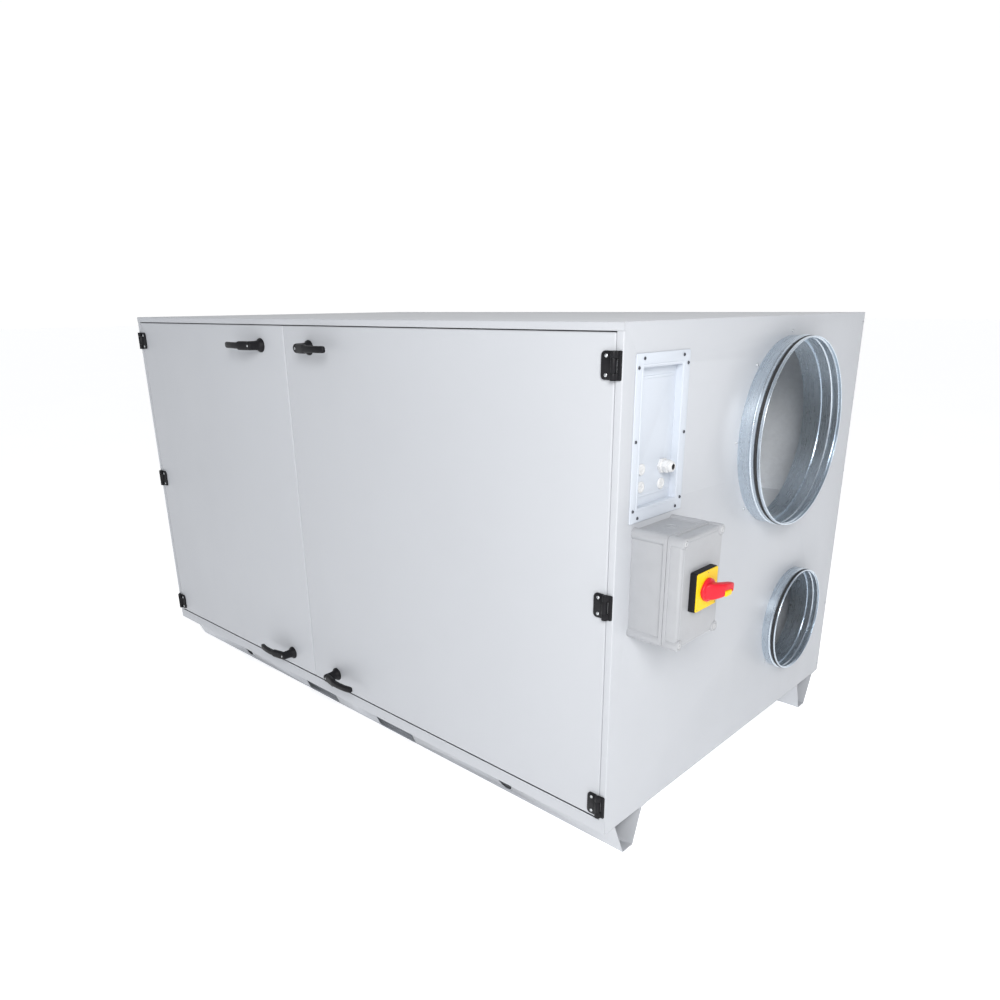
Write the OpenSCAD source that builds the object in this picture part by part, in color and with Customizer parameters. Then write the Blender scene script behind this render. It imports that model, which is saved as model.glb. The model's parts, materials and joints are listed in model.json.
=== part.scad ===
// Heat recovery ventilation unit: an insulated two-door casing on folded base rails, with a large
// intake spigot and a small discharge spigot at each end, a crossflow plate exchanger, two filters,
// two plug fans, and an access plate and a rotary isolating switch on the right end.
// Millimetres, +Z up. X runs along the doors and the doors face -Y. Inside the modules, X starts at
// the casing's left end, Y at its front face and Z at its underside; place() moves all to the origin.

/* [Casing] */
// Length of the casing along the doors
casing_l = 2175; // [2150:5:2300]
// Depth of the casing from the doors to the back
casing_d = 1260; // [1240:5:1400]
// Height of the casing without its rails
casing_h = 1190; // [1180:5:1260]
// Thickness of an insulated wall
wall_t = 50; // [48:1:55]
// Thickness of the outer steel sheet
skin_t = 1.5; // [1.2:0.1:2]
// Thickness of the inner steel sheet
liner_t = 1; // [0.8:0.1:1.5]

/* [Doors] */
// Distance from the left end to the line between the doors
split_x = 968; // [900:1:1050]
// Thickness of a door
door_t = 40; // [36:1:44]
// Visible width of the frame beside and above the doors
frame_w = 17; // [15:1:22]
// Visible height of the frame below the doors
sill_h = 36; // [30:1:40]
// Gap round a door
door_gap = 2.5; // [2:0.5:4]
// Height of a hinge
hinge_h = 58; // [50:1:65]
// Distance from the line between the doors to a handle's axis
handle_off = 128; // [110:1:140]
// Reach of a lever from its axis
lever_l = 132; // [110:1:140]

/* [Base rails] */
// Height of the rails
rail_h = 100; // [80:5:120]
// Length of a fork slot
fork_slot_l = 180; // [150:5:200]
// Distance from the middle of the unit to a fork slot's middle
fork_slot_off = 202; // [180:1:220]
// Radius of a lifting hole
lift_hole_r = 25; // [20:1:28]

/* [Spigots] */
// Radius of an intake spigot
intake_r = 249; // [240:1:255]
// Length of an intake spigot
intake_l = 60; // [55:1:70]
// Radius of a discharge spigot
discharge_r = 156.5; // [150:0.5:160]
// Length of a discharge spigot
discharge_l = 40; // [38:1:50]

/* [Isolating switch] */
// Depth of the enclosure's base
switch_base_d = 91; // [80:1:100]
// Depth of the enclosure's lid
switch_lid_d = 39; // [35:1:45]
// Side of the square handle plate
handle_plate_w = 90; // [80:1:95]

/* [Hidden] */

tiny = 0.01;
cut = 1;
round_fn = 96;
small_fn = 32;

// Door frame: the doors close on a landing behind them, which stands proud of the liner
seal_t = 5;
landing_y = door_t + seal_t;
landing_back = landing_y + skin_t;
lip = 16;
mullion_w = 60;
mullion_d = 15;
open_x0 = frame_w;
open_x1 = casing_l - frame_w;
open_z0 = sill_h;
open_z1 = casing_h - frame_w;
split_gap = 2;
door_x_left = [open_x0 + door_gap, split_x - split_gap / 2];
door_x_right = [split_x + split_gap / 2, open_x1 - door_gap];
door_z = [open_z0 + door_gap, open_z1 - door_gap];

// Hinges: the pin's axis stands in front of the gap beside the door
hinge_y = -7;
hinge_z = [76, 592, 1107];
knuckle_r = 6.7;
pin_r = 3;
running = 0.05;
hinge_x_left = open_x0 + door_gap / 2;
hinge_x_right = open_x1 - door_gap / 2;
leaf_t = 5;
door_leaf_w = 33;
frame_leaf_w = 16;
hinge_screw_dx = 20;
hinge_screw_dz = 19;

// Handles
handle_top_z = casing_h - 78;
handle_bottom_z = 86;
collar_r = 21;
collar_t = 3;
hub_r = 13.5;
spindle_r = 6;
lever_front = 47;
lever_out = 57;
cam_y = [landing_back + 1.5, landing_back + 4.5];
cam_w = 18;
cam_clear = 2.5;
cam_top_l = casing_h - wall_t - cam_clear - handle_top_z;
cam_bottom_l = handle_bottom_z - wall_t - cam_clear;

// Base rails: folded hat section, wider at the top
rail_t = 2;
rail_profile_y = [22, 42, 85, 129, 164, 184];
fork_slot_h = 72;
lift_hole_x = 395;
lift_hole_z = -58;
floor_hole_r = 7;
floor_hole_x = 60;

// Spigots
collar_wall = 1.5;
intake_y = 764;
intake_z = 891;
discharge_y = 932;
discharge_z = 299;
spigot_flange = 22;
spigot_clear = 0.5;
neck_step = 4;
bead_h = 0.8;
groove_d = 4;
intake_screws = 8;
discharge_screws = 4;
intake_screw_r = 260;
discharge_screw_r = 164;
screw_head_r = 3.6;
screw_head_h = 2.4;
screw_shank_r = 1.9;
screw_hole_r = 2.2;
screw_l = 7;

// Access plate: a raised frame round a plate that lies deeper than the end panel
access_y = [44, 252];
access_z = [773, 1128];
access_hole_y = [70, 224];
access_hole_z = [803, 1100];
access_frame_t = 3;
access_depth = 14;
access_side_y = [53, 243];
access_side_z = [801, 950, 1100];
access_end_y = [72, 225];
access_end_z = [783, 1118];
gland_y = 184;
gland_z = 881;
gland_r = 10;

// Isolating switch
box_y = [55, 234];
box_z = [506, 763];
box_wall = 4;
box_post_r = 13;
box_inset = 5;
switch_y = 141;
switch_z = 635;
switch_plate_t = 14;
yellow_plate_t = 2;
grip_base_r = 30;
grip_front = 37;
grip_reach = 54;
switch_shaft_r = 5;
box_front = casing_l + switch_base_d + switch_lid_d;
yellow_front = box_front + switch_plate_t + yellow_plate_t;

// Inner parts
cavity = [[wall_t, landing_back, wall_t], [casing_l - wall_t, casing_d - wall_t, casing_h - wall_t]];
shelf_top = 624;
shelf_t = 25;
exchanger_x = casing_l / 2;
exchanger_z = shelf_top - shelf_t / 2;
exchanger_half = 500;
plate_pitch = 36;
plate_t = 1.5;
filter_x = [1700, 1796];
fan_plate_x = 1720;
fan_plate_t = 3;
fan_z = (wall_t + shelf_top - shelf_t) / 2;
fan_y = casing_d / 2;
fan_r = 200;
fan_depth = 130;
inlet_r = 130;
motor_shaft_r = 10;
blade_count = 7;

// Origin: the middle of the whole outline's underside
origin_x = (yellow_front + grip_front - intake_l) / 2;
origin_y = (casing_d - lever_out) / 2;

steel_white = [0.86, 0.87, 0.88];
zinc = [0.66, 0.69, 0.72];
rubber_black = [0.09, 0.09, 0.1];
plastic_black = [0.06, 0.06, 0.07];
plastic_white = [0.93, 0.93, 0.92];
enclosure_grey = [0.82, 0.83, 0.82];
signal_yellow = [0.98, 0.85, 0.05];
signal_red = [0.88, 0.12, 0.14];
wool = [0.75, 0.7, 0.45];
bright_metal = [0.8, 0.82, 0.84];

module place() translate([-origin_x, -origin_y, rail_h]) children();

module block(low, high) translate(low) cube(high - low);

module along_x(x0, x1, r, fn = small_fn)
    translate([x0, 0, 0]) rotate([0, 90, 0]) cylinder(h = x1 - x0, r = r, $fn = fn);

module along_y(y0, y1, r, fn = small_fn)
    translate([0, y0, 0]) rotate([-90, 0, 0]) cylinder(h = y1 - y0, r = r, $fn = fn);

// The left end is the right end seen in a mirror
module at_left_end() translate([casing_l, 0, 0]) mirror([1, 0, 0]) children();

module each_intake_screw() {
    for (i = [0 : intake_screws - 1])
        translate([0, intake_y, intake_z])
            rotate([i * 360 / intake_screws, 0, 0])
                translate([0, intake_screw_r, 0])
                    children();
}

module each_discharge_screw() {
    for (i = [0 : discharge_screws - 1])
        translate([0, discharge_y, discharge_z])
            rotate([45 + i * 360 / discharge_screws, 0, 0])
                translate([0, discharge_screw_r, 0])
                    children();
}

module each_access_screw() {
    for (y = access_side_y, z = access_side_z)
        translate([0, y, z]) children();
    for (y = access_end_y, z = access_end_z)
        translate([0, y, z]) children();
}

// Casing sheets

module bottom_panel() {
    color(steel_white)
        difference() {
            block([0, 0, 0], [casing_l, casing_d, skin_t]);
            drain_hole(drain_neck_r + spigot_clear);
        }
}

module top_panel() {
    color(steel_white)
        block([0, 0, casing_h - skin_t], [casing_l, casing_d, casing_h]);
}

module back_panel() {
    color(steel_white)
        block([skin_t, casing_d - skin_t, skin_t], [casing_l - skin_t, casing_d, casing_h - skin_t]);
}

// Holes for the spigots' necks
module end_openings(x0, x1) {
    clear = spigot_clear - neck_step;
    translate([0, intake_y, intake_z]) along_x(x0, x1, intake_r + clear, round_fn);
    translate([0, discharge_y, discharge_z]) along_x(x0, x1, discharge_r + clear, round_fn);
}

module plain_end_panel() {
    difference() {
        block([casing_l - skin_t, 0, skin_t], [casing_l, casing_d, casing_h - skin_t]);
        end_openings(casing_l - skin_t - cut, casing_l + cut);
        each_intake_screw() along_x(casing_l - skin_t - cut, casing_l + cut, screw_hole_r);
        each_discharge_screw() along_x(casing_l - skin_t - cut, casing_l + cut, screw_hole_r);
    }
}

module left_end_panel() {
    color(steel_white) at_left_end() plain_end_panel();
}

module access_pocket(x0, x1, margin) {
    block(
        [x0, access_hole_y[0] - margin, access_hole_z[0] - margin],
        [x1, access_hole_y[1] + margin, access_hole_z[1] + margin]
    );
}

module right_end_panel() {
    color(steel_white)
        difference() {
            plain_end_panel();
            access_pocket(casing_l - skin_t - cut, casing_l + cut, access_frame_t);
            each_access_screw() along_x(casing_l - skin_t - cut, casing_l + cut, screw_hole_r);
            switch_cable_hole(casing_l - skin_t - cut, casing_l + cut);
        }
}

module switch_cable_hole(x0, x1) {
    translate([0, switch_y, switch_z]) along_x(x0, x1, switch_cable_r);
}

// The opening that both doors fill, grown by margin on all sides
module opening_block(y0, y1, margin) {
    block([open_x0 - margin, y0, open_z0 - margin], [open_x1 + margin, y1, open_z1 + margin]);
}

module front_frame() {
    color(steel_white) {
        difference() {
            union() {
                block([skin_t, 0, skin_t], [casing_l - skin_t, skin_t, casing_h - skin_t]);
                opening_block(0, landing_back, skin_t);
            }
            opening_block(-cut, landing_y, 0);
            block(
                [wall_t + lip, 0, wall_t + lip],
                [casing_l - wall_t - lip, landing_back + cut, casing_h - wall_t - lip]
            );
        }
        mullion();
    }
}

module mullion() {
    z0 = wall_t + lip;
    z1 = casing_h - wall_t - lip;
    difference() {
        block([split_x - mullion_w / 2, landing_y, z0], [split_x + mullion_w / 2, landing_y + mullion_d, z1]);
        block(
            [split_x - mullion_w / 2 + skin_t, landing_back, z0 - cut],
            [split_x + mullion_w / 2 - skin_t, landing_y + mullion_d + cut, z1 + cut]
        );
    }
}

module inner_liner() {
    color(bright_metal)
        difference() {
            block(
                [wall_t - liner_t, landing_back, wall_t - liner_t],
                [casing_l - wall_t + liner_t, casing_d - wall_t + liner_t, casing_h - wall_t + liner_t]
            );
            block(cavity[0] - [0, cut, 0], cavity[1]);
            wall_cutouts();
        }
}

module wall_cutouts() {
    end_openings(casing_l - wall_t - liner_t - cut, casing_l + cut);
    at_left_end() end_openings(casing_l - wall_t - liner_t - cut, casing_l + cut);
    access_pocket(casing_l - wall_t - cut, casing_l + cut, access_frame_t);
    switch_cable_hole(casing_l - wall_t - cut, casing_l + cut);
    drain_hole(drain_neck_r + spigot_clear);
}

module wall_insulation() {
    color(wool)
        difference() {
            block([skin_t, landing_back, skin_t], [casing_l - skin_t, casing_d - skin_t, casing_h - skin_t]);
            block(
                [wall_t - liner_t, landing_back - cut, wall_t - liner_t],
                [casing_l - wall_t + liner_t, casing_d - wall_t + liner_t, casing_h - wall_t + liner_t]
            );
            wall_cutouts();
            flange_recesses();
            at_left_end() flange_recesses();
        }
}

// Room behind the end skin for the spigot flanges and the screw tips
module flange_recesses() {
    depth = skin_t + collar_wall + screw_l;
    translate([0, intake_y, intake_z])
        along_x(casing_l - depth, casing_l, intake_r + spigot_flange + 1, round_fn);
    translate([0, discharge_y, discharge_z])
        along_x(casing_l - depth, casing_l, discharge_r + spigot_flange + 1, round_fn);
    each_access_screw() along_x(casing_l - depth, casing_l, screw_hole_r);
}

// Base rails

// Outline of the folded rail: front flange, front web, foot, rear web, rear flange
function rail_outline() = [
    [rail_profile_y[0], 0], [rail_profile_y[1], 0], [rail_profile_y[2], rail_t - rail_h],
    [rail_profile_y[3], rail_t - rail_h], [rail_profile_y[4], 0], [rail_profile_y[5], 0],
    [rail_profile_y[5], -rail_t], [rail_profile_y[4] + rail_t, -rail_t],
    [rail_profile_y[3] + rail_t, -rail_h], [rail_profile_y[2] - rail_t, -rail_h],
    [rail_profile_y[1] - rail_t, -rail_t], [rail_profile_y[0], -rail_t]
];

module base_rail() {
    foot_y = (rail_profile_y[2] + rail_profile_y[3]) / 2;
    color(steel_white)
        difference() {
            rotate([90, 0, 90]) linear_extrude(height = casing_l) polygon(rail_outline());
            for (side = [-1, 1]) {
                fork_x = casing_l / 2 + side * fork_slot_off;
                block(
                    [fork_x - fork_slot_l / 2, rail_profile_y[0], rail_t - rail_h],
                    [fork_x + fork_slot_l / 2, rail_profile_y[5], fork_slot_h - rail_h]
                );
                translate([casing_l / 2 + side * (casing_l / 2 - lift_hole_x), 0, lift_hole_z])
                    along_y(rail_profile_y[0], rail_profile_y[5], lift_hole_r);
                translate([casing_l / 2 + side * (casing_l / 2 - floor_hole_x), foot_y, -rail_h - cut])
                    cylinder(h = rail_t + 2 * cut, r = floor_hole_r, $fn = small_fn);
            }
        }
}

module front_base_rail() {
    base_rail();
}

module rear_base_rail() {
    translate([0, casing_d, 0]) mirror([0, 1, 0]) base_rail();
}

// Doors

module door_block(x, y0, y1, inset) {
    block([x[0] + inset, y0, door_z[0] + inset], [x[1] - inset, y1, door_z[1] - inset]);
}

module spindle_holes(handle_x, y0, y1) {
    for (z = [handle_bottom_z, handle_top_z])
        translate([handle_x, 0, z]) along_y(y0, y1, spindle_r + 2);
}

module door_skin(x, handle_x) {
    color(steel_white)
        difference() {
            door_block(x, 0, door_t - liner_t, 0);
            door_block(x, skin_t, door_t, skin_t);
            spindle_holes(handle_x, -cut, skin_t + cut);
        }
}

module door_core(x, handle_x) {
    color(wool)
        difference() {
            door_block(x, skin_t, door_t - liner_t, skin_t);
            spindle_holes(handle_x, 0, door_t);
        }
}

module door_liner(x, handle_x) {
    color(bright_metal)
        difference() {
            door_block(x, door_t - liner_t, door_t, 0);
            spindle_holes(handle_x, 0, door_t + cut);
        }
}

left_handle_x = split_x - handle_off;
right_handle_x = split_x + handle_off;

module left_door_skin() door_skin(door_x_left, left_handle_x);
module left_door_core() door_core(door_x_left, left_handle_x);
module left_door_liner() door_liner(door_x_left, left_handle_x);
module right_door_skin() door_skin(door_x_right, right_handle_x);
module right_door_core() door_core(door_x_right, right_handle_x);
module right_door_liner() door_liner(door_x_right, right_handle_x);

module seal_ring(x) {
    inset = 5;
    width = 12;
    y0 = door_t + 0.3;
    difference() {
        door_block(x, y0, landing_y, inset);
        door_block(x, y0 - cut, landing_y + cut, inset + width);
    }
}

module door_seals() {
    color(rubber_black) {
        seal_ring(door_x_left);
        seal_ring(door_x_right);
    }
}

// Hinges: the frame leaf has the two outer knuckles and the door leaf has the middle one

knuckle_h = hinge_h / 4;
knuckle_gap = 0.4;

module knuckle(z0, z1, bore_r) {
    difference() {
        translate([0, hinge_y, z0]) cylinder(h = z1 - z0, r = knuckle_r, $fn = small_fn);
        translate([0, hinge_y, z0 - cut]) cylinder(h = z1 - z0 + 2 * cut, r = bore_r, $fn = small_fn);
    }
}

// A leaf plate beside the pin, from the pin's plane out to width, clear of the pin's bore
module leaf_web(width, z0, z1) {
    difference() {
        block([0, -leaf_t, z0], [width, 0, z1]);
        translate([0, hinge_y, z0 - cut]) cylinder(h = z1 - z0 + 2 * cut, r = pin_r + 1, $fn = small_fn);
    }
}

module frame_leaf() {
    half = hinge_h / 2;
    middle = half - knuckle_h;
    bore = pin_r - 0.02;
    for (side = [-1, 1]) {
        z0 = side < 0 ? -half : middle;
        z1 = side < 0 ? -middle : half;
        knuckle(z0, z1, bore);
        mirror([1, 0, 0]) leaf_web(frame_leaf_w, z0, z1);
    }
    mirror([1, 0, 0]) block([knuckle_r + 0.8, -leaf_t, -middle], [frame_leaf_w, 0, middle]);
}

module door_leaf() {
    half = hinge_h / 2;
    middle = half - knuckle_h - knuckle_gap;
    difference() {
        union() {
            knuckle(-middle, middle, pin_r + running);
            leaf_web(knuckle_r + 2, -middle, middle);
            difference() {
                block([knuckle_r + 0.8, -leaf_t, -half], [door_leaf_w, 0, half]);
                for (side = [-1, 1])
                    translate([door_leaf_w, 0, side * half]) rotate([0, 45, 0])
                        translate([0, -leaf_t / 2, 0]) cube([9, leaf_t + 2 * cut, 9], center = true);
            }
        }
        for (side = [-1, 1])
            translate([hinge_screw_dx, 0, side * hinge_screw_dz]) along_y(-leaf_t - cut, cut, screw_hole_r);
    }
}

module each_left_hinge() for (z = hinge_z) translate([hinge_x_left, 0, z]) children();
module each_right_hinge() for (z = hinge_z) translate([hinge_x_right, 0, z]) mirror([1, 0, 0]) children();

module hinge_frame_leaves() {
    color(plastic_black) {
        each_left_hinge() frame_leaf();
        each_right_hinge() frame_leaf();
    }
}

module hinge_pin() {
    translate([0, hinge_y, -hinge_h / 2 + 1]) cylinder(h = hinge_h - 2, r = pin_r, $fn = small_fn);
}

module hinge_pins() {
    color(zinc) {
        each_left_hinge() hinge_pin();
        each_right_hinge() hinge_pin();
    }
}

module left_hinge_door_leaves() color(plastic_black) each_left_hinge() door_leaf();
module right_hinge_door_leaves() color(plastic_black) each_right_hinge() door_leaf();

module hinge_screw_pair() {
    for (side = [-1, 1])
        translate([hinge_screw_dx, 0, side * hinge_screw_dz]) {
            along_y(-leaf_t - 1.8, -leaf_t, screw_head_r);
            along_y(-leaf_t - tiny, 0, screw_shank_r);
        }
}

module left_hinge_screws() color(bright_metal) each_left_hinge() hinge_screw_pair();
module right_hinge_screws() color(bright_metal) each_right_hinge() hinge_screw_pair();

// Handles: collar on the door, lever outside, spindle through the door with a cam behind it

module collar() {
    difference() {
        along_y(-collar_t, 0, collar_r);
        along_y(-collar_t - cut, cut, spindle_r + running);
    }
}

module handle_collars(handle_x) {
    color(plastic_black)
        for (z = [handle_bottom_z, handle_top_z]) translate([handle_x, 0, z]) collar();
}

module left_handle_collars() handle_collars(left_handle_x);
module right_handle_collars() handle_collars(right_handle_x);

// Lever pointing towards +X, its hub round the spindle and its arm bowed away from the door
module lever() {
    arm_r = 220;
    arm_x = 70;
    arm_t = 16;
    arm_h = 19;
    hub_back = collar_t + 0.3;
    start = asin(arm_x / arm_r);
    end = asin((lever_l - arm_x) / arm_r);
    difference() {
        union() {
            rotate([90, 0, 0])
                rotate_extrude($fn = small_fn)
                    polygon([
                        [0, hub_back], [collar_r - 1, hub_back], [hub_r + 2, hub_back + 9],
                        [hub_r, lever_front - 12], [hub_r, lever_front - 3], [hub_r - 3, lever_front],
                        [0, lever_front]
                    ]);
            translate([arm_x, arm_r - lever_out + arm_t / 2, 0])
                rotate([0, 0, -90 - start])
                    rotate_extrude(angle = start + end, $fn = round_fn)
                        translate([arm_r - arm_t / 2, -arm_h / 2]) square([arm_t, arm_h]);
        }
        along_y(-lever_front / 2, 0, spindle_r);
    }
}

// Spindle and cam, the cam pointing towards -X
module cam(reach) {
    along_y(-lever_front / 2, cam_y[1], spindle_r);
    translate([0, cam_y[1], 0]) rotate([90, 0, 0])
        linear_extrude(height = cam_y[1] - cam_y[0])
            union() {
                circle(r = cam_w / 2 + 1, $fn = small_fn);
                translate([-reach + cam_w / 2, -cam_w / 2]) square([reach - cam_w / 2, cam_w]);
                translate([-reach + cam_w / 2, 0]) circle(r = cam_w / 2, $fn = small_fn);
            }
}

module at_left_handle(z) translate([left_handle_x, 0, z]) mirror([1, 0, 0]) children();
module at_right_handle(z) translate([right_handle_x, 0, z]) children();

module left_top_lever() color(plastic_black) at_left_handle(handle_top_z) lever();
module left_bottom_lever() color(plastic_black) at_left_handle(handle_bottom_z) lever();
module right_top_lever() color(plastic_black) at_right_handle(handle_top_z) lever();
module right_bottom_lever() color(plastic_black) at_right_handle(handle_bottom_z) lever();
module left_top_cam() color(zinc) at_left_handle(handle_top_z) cam(cam_top_l);
module left_bottom_cam() color(zinc) at_left_handle(handle_bottom_z) cam(cam_bottom_l);
module right_top_cam() color(zinc) at_right_handle(handle_top_z) cam(cam_top_l);
module right_bottom_cam() color(zinc) at_right_handle(handle_bottom_z) cam(cam_bottom_l);

// Spigots

// Outside line of a spigot from the sheet to its rim: plain collar, rolled bead, seal groove, rim
function spigot_line(r, l) = [
    [r, 0], [r, 0.52 * l], [r + bead_h, 0.55 * l], [r + bead_h, 0.6 * l], [r, 0.63 * l],
    [r, 0.7 * l], [r - groove_d, 0.73 * l], [r - groove_d, 0.87 * l], [r, 0.9 * l], [r, l]
];

// The neck lines the hole through the wall, with a flange behind the sheet, and the wider collar
// stands on the sheet
module spigot(r, l) {
    line = spigot_line(r, l);
    inner = [for (i = [len(line) - 1 : -1 : 1]) line[i] - [collar_wall, 0]];
    neck_r = r - neck_step;
    bore_r = neck_r - collar_wall;
    neck_outside = [[neck_r, -wall_t], [neck_r, 0]];
    neck_inside = [[r - collar_wall, collar_wall], [bore_r, collar_wall], [bore_r, -wall_t]];
    rotate([0, 90, 0])
        rotate_extrude($fn = round_fn) {
            polygon(concat(neck_outside, line, inner, neck_inside));
            translate([bore_r, -skin_t - collar_wall]) square([spigot_flange, collar_wall]);
        }
}

module intake_spigot() {
    difference() {
        translate([casing_l, intake_y, intake_z]) spigot(intake_r, intake_l);
        each_intake_screw() along_x(casing_l - 2 * wall_t, casing_l, screw_hole_r);
    }
}

module discharge_spigot() {
    difference() {
        translate([casing_l, discharge_y, discharge_z]) spigot(discharge_r, discharge_l);
        each_discharge_screw() along_x(casing_l - 2 * wall_t, casing_l, screw_hole_r);
    }
}

module right_intake_spigot() color(zinc) intake_spigot();
module right_discharge_spigot() color(zinc) discharge_spigot();
module left_intake_spigot() color(zinc) at_left_end() intake_spigot();
module left_discharge_spigot() color(zinc) at_left_end() discharge_spigot();

// Rubber ring in the groove, with a lip just proud of the collar
module seal_lip(r, l) {
    clear = 0.02 * l;
    rotate([0, 90, 0])
        rotate_extrude($fn = round_fn)
            polygon([
                [r - groove_d, 0.73 * l], [r - groove_d, 0.87 * l], [r - 1, 0.9 * l - clear],
                [r + bead_h, 0.8 * l + clear], [r + bead_h, 0.8 * l], [r - 1, 0.7 * l + clear]
            ]);
}

module end_seal_lips() {
    translate([casing_l, intake_y, intake_z]) seal_lip(intake_r, intake_l);
    translate([casing_l, discharge_y, discharge_z]) seal_lip(discharge_r, discharge_l);
}

module spigot_seals() {
    color(rubber_black) {
        end_seal_lips();
        at_left_end() end_seal_lips();
    }
}

// Sheet screws: a low domed head on the sheet and a shank through its hole

module sheet_screw(face) {
    translate([face, 0, 0]) rotate([0, 90, 0])
        rotate_extrude($fn = small_fn)
            polygon([
                [0, -screw_l], [screw_shank_r, -screw_l], [screw_shank_r, 0], [screw_head_r, 0],
                [screw_head_r, screw_head_h / 2], [screw_head_r / 2, screw_head_h], [0, screw_head_h]
            ]);
}

rear_screw_count = 6;
rear_screw_z = 26;
rear_screw_pitch = 227;
rear_screw_inset = 8;

module rear_edge_screws() {
    for (i = [0 : rear_screw_count - 1])
        translate([casing_l, casing_d - rear_screw_inset, rear_screw_z + i * rear_screw_pitch])
            along_x(0, screw_head_h, screw_head_r);
}

module end_screws() {
    each_intake_screw() sheet_screw(casing_l);
    each_discharge_screw() sheet_screw(casing_l);
    rear_edge_screws();
}

module casing_screws() {
    color(zinc) {
        end_screws();
        at_left_end() end_screws();
        each_access_screw() sheet_screw(casing_l + access_frame_t);
    }
}

// Access plate

module access_frame() {
    color(steel_white)
        difference() {
            union() {
                block(
                    [casing_l, access_y[0], access_z[0]],
                    [casing_l + access_frame_t, access_y[1], access_z[1]]
                );
                access_pocket(casing_l - access_depth, casing_l + tiny, skin_t);
            }
            access_pocket(casing_l - access_depth - cut, casing_l + access_frame_t + cut, 0);
            each_access_screw() along_x(casing_l - cut, casing_l + access_frame_t + cut, screw_hole_r);
        }
}

plug_places = [[103, 883], [103, 844], [184, 840]];
plug_r = 9;
plate_front = casing_l - access_depth;

module access_plate() {
    color(steel_white)
        difference() {
            access_pocket(plate_front - skin_t, plate_front, skin_t);
            translate([0, gland_y, gland_z])
                along_x(plate_front - skin_t - cut, plate_front + cut, gland_r);
            for (p = plug_places)
                translate([0, p[0], p[1]]) along_x(plate_front - skin_t - cut, plate_front + cut, plug_r);
        }
}

gland_bore_r = 6.5;
gland_back = 10;

// Steps of the gland along X from the plate: start, end, radius and number of sides
gland_steps = [[0, 8, 18, 6], [8, 12, 13, small_fn], [12, 22, 16, 6], [22, 32, 12.5, small_fn]];
gland_l = 32;

module cable_gland() {
    translate([plate_front, gland_y, gland_z])
        difference() {
            union() {
                along_x(-gland_back, 0, gland_r);
                for (s = gland_steps) along_x(s[0], s[1], s[2], s[3]);
            }
            along_x(-gland_back - cut, gland_l + cut, gland_bore_r);
        }
}

plug_back = 6;
plug_head_t = 4;
plug_head_r = plug_r + 4;

module blanking_plug() {
    along_x(plate_front - plug_back, plate_front, plug_r);
    along_x(plate_front, plate_front + plug_head_t, plug_head_r);
}

module cable_entries() {
    color(plastic_white) {
        cable_gland();
        for (p = plug_places) translate([0, p[0], p[1]]) blanking_plug();
    }
}

// Sheet steel box inside the casing, open towards the access plate
control_box_d = 180;
control_box_y = [50, 262];
control_box_z = [770, 1132];

module control_box() {
    x0 = casing_l - wall_t - control_box_d;
    x1 = casing_l - wall_t;
    color(zinc)
        difference() {
            block([x0, control_box_y[0], control_box_z[0]], [x1, control_box_y[1], control_box_z[1]]);
            block(
                [x0 + skin_t, control_box_y[0] + skin_t, control_box_z[0] + skin_t],
                [x1 + cut, control_box_y[1] - skin_t, control_box_z[1] - skin_t]
            );
        }
}

// Isolating switch

switch_cable_r = 10;

// Box outline with its corner posts, grown inwards by inset between the posts
module box_body(x0, x1, inset) {
    block([x0, box_y[0] + inset, box_z[0] + inset], [x1, box_y[1] - inset, box_z[1] - inset]);
}

module box_posts(x0, x1, r) {
    for (y = [box_y[0] + box_post_r, box_y[1] - box_post_r])
        for (z = [box_z[0] + box_post_r, box_z[1] - box_post_r])
            translate([0, y, z]) along_x(x0, x1, r);
}

box_rim = 8;

module switch_box_base() {
    x1 = casing_l + switch_base_d;
    color(enclosure_grey)
        difference() {
            union() {
                box_body(casing_l, x1, box_inset);
                box_posts(casing_l, x1, box_post_r);
                box_body(x1 - box_rim, x1, 1);
            }
            box_body(casing_l + box_wall, x1 + cut, 2 * box_post_r);
            switch_cable_hole(casing_l - cut, casing_l + box_wall + cut);
        }
}

module switch_box_lid() {
    x0 = casing_l + switch_base_d;
    color(enclosure_grey)
        difference() {
            union() {
                box_body(x0, box_front - 3, box_inset - 2);
                box_posts(x0, box_front, box_post_r);
                box_body(x0, x0 + box_rim, 1);
                difference() {
                    box_body(box_front - 4, box_front - 1.5, 4);
                    box_body(box_front - 5, box_front, 10);
                }
            }
            box_body(x0 - cut, box_front - 3 - box_wall, 2 * box_post_r);
            translate([0, switch_y, switch_z]) along_x(x0, box_front + cut, switch_shaft_r + 1);
            box_posts(box_front - 6, box_front + cut, 6.2);
        }
}

module switch_box_screws() {
    color(plastic_white) box_posts(box_front - 6, box_front + 0.5, 6);
}

module switch_square(x0, x1, side) {
    block(
        [x0, switch_y - side / 2, switch_z - side / 2],
        [x1, switch_y + side / 2, switch_z + side / 2]
    );
}

module switch_base_plate() {
    color(plastic_black)
        difference() {
            switch_square(box_front - 3, box_front + switch_plate_t, handle_plate_w);
            translate([0, switch_y, switch_z])
                along_x(box_front - 3 - cut, box_front + switch_plate_t + cut, switch_shaft_r + running);
        }
}

module switch_yellow_plate() {
    color(signal_yellow)
        difference() {
            switch_square(box_front + switch_plate_t, yellow_front, handle_plate_w - 3);
            translate([0, switch_y, switch_z])
                along_x(box_front + switch_plate_t - cut, yellow_front + cut, switch_shaft_r + 1);
        }
}

isolator_half = [32, 45];
isolator_front = box_front - 40;
socket_depth = 12;

module isolator_block() {
    color(plastic_black)
        difference() {
            block(
                [casing_l + box_wall, switch_y - isolator_half[0], switch_z - isolator_half[1]],
                [isolator_front, switch_y + isolator_half[0], switch_z + isolator_half[1]]
            );
            translate([0, switch_y, switch_z])
                along_x(isolator_front - socket_depth, isolator_front + cut, switch_shaft_r + running);
        }
}

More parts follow.
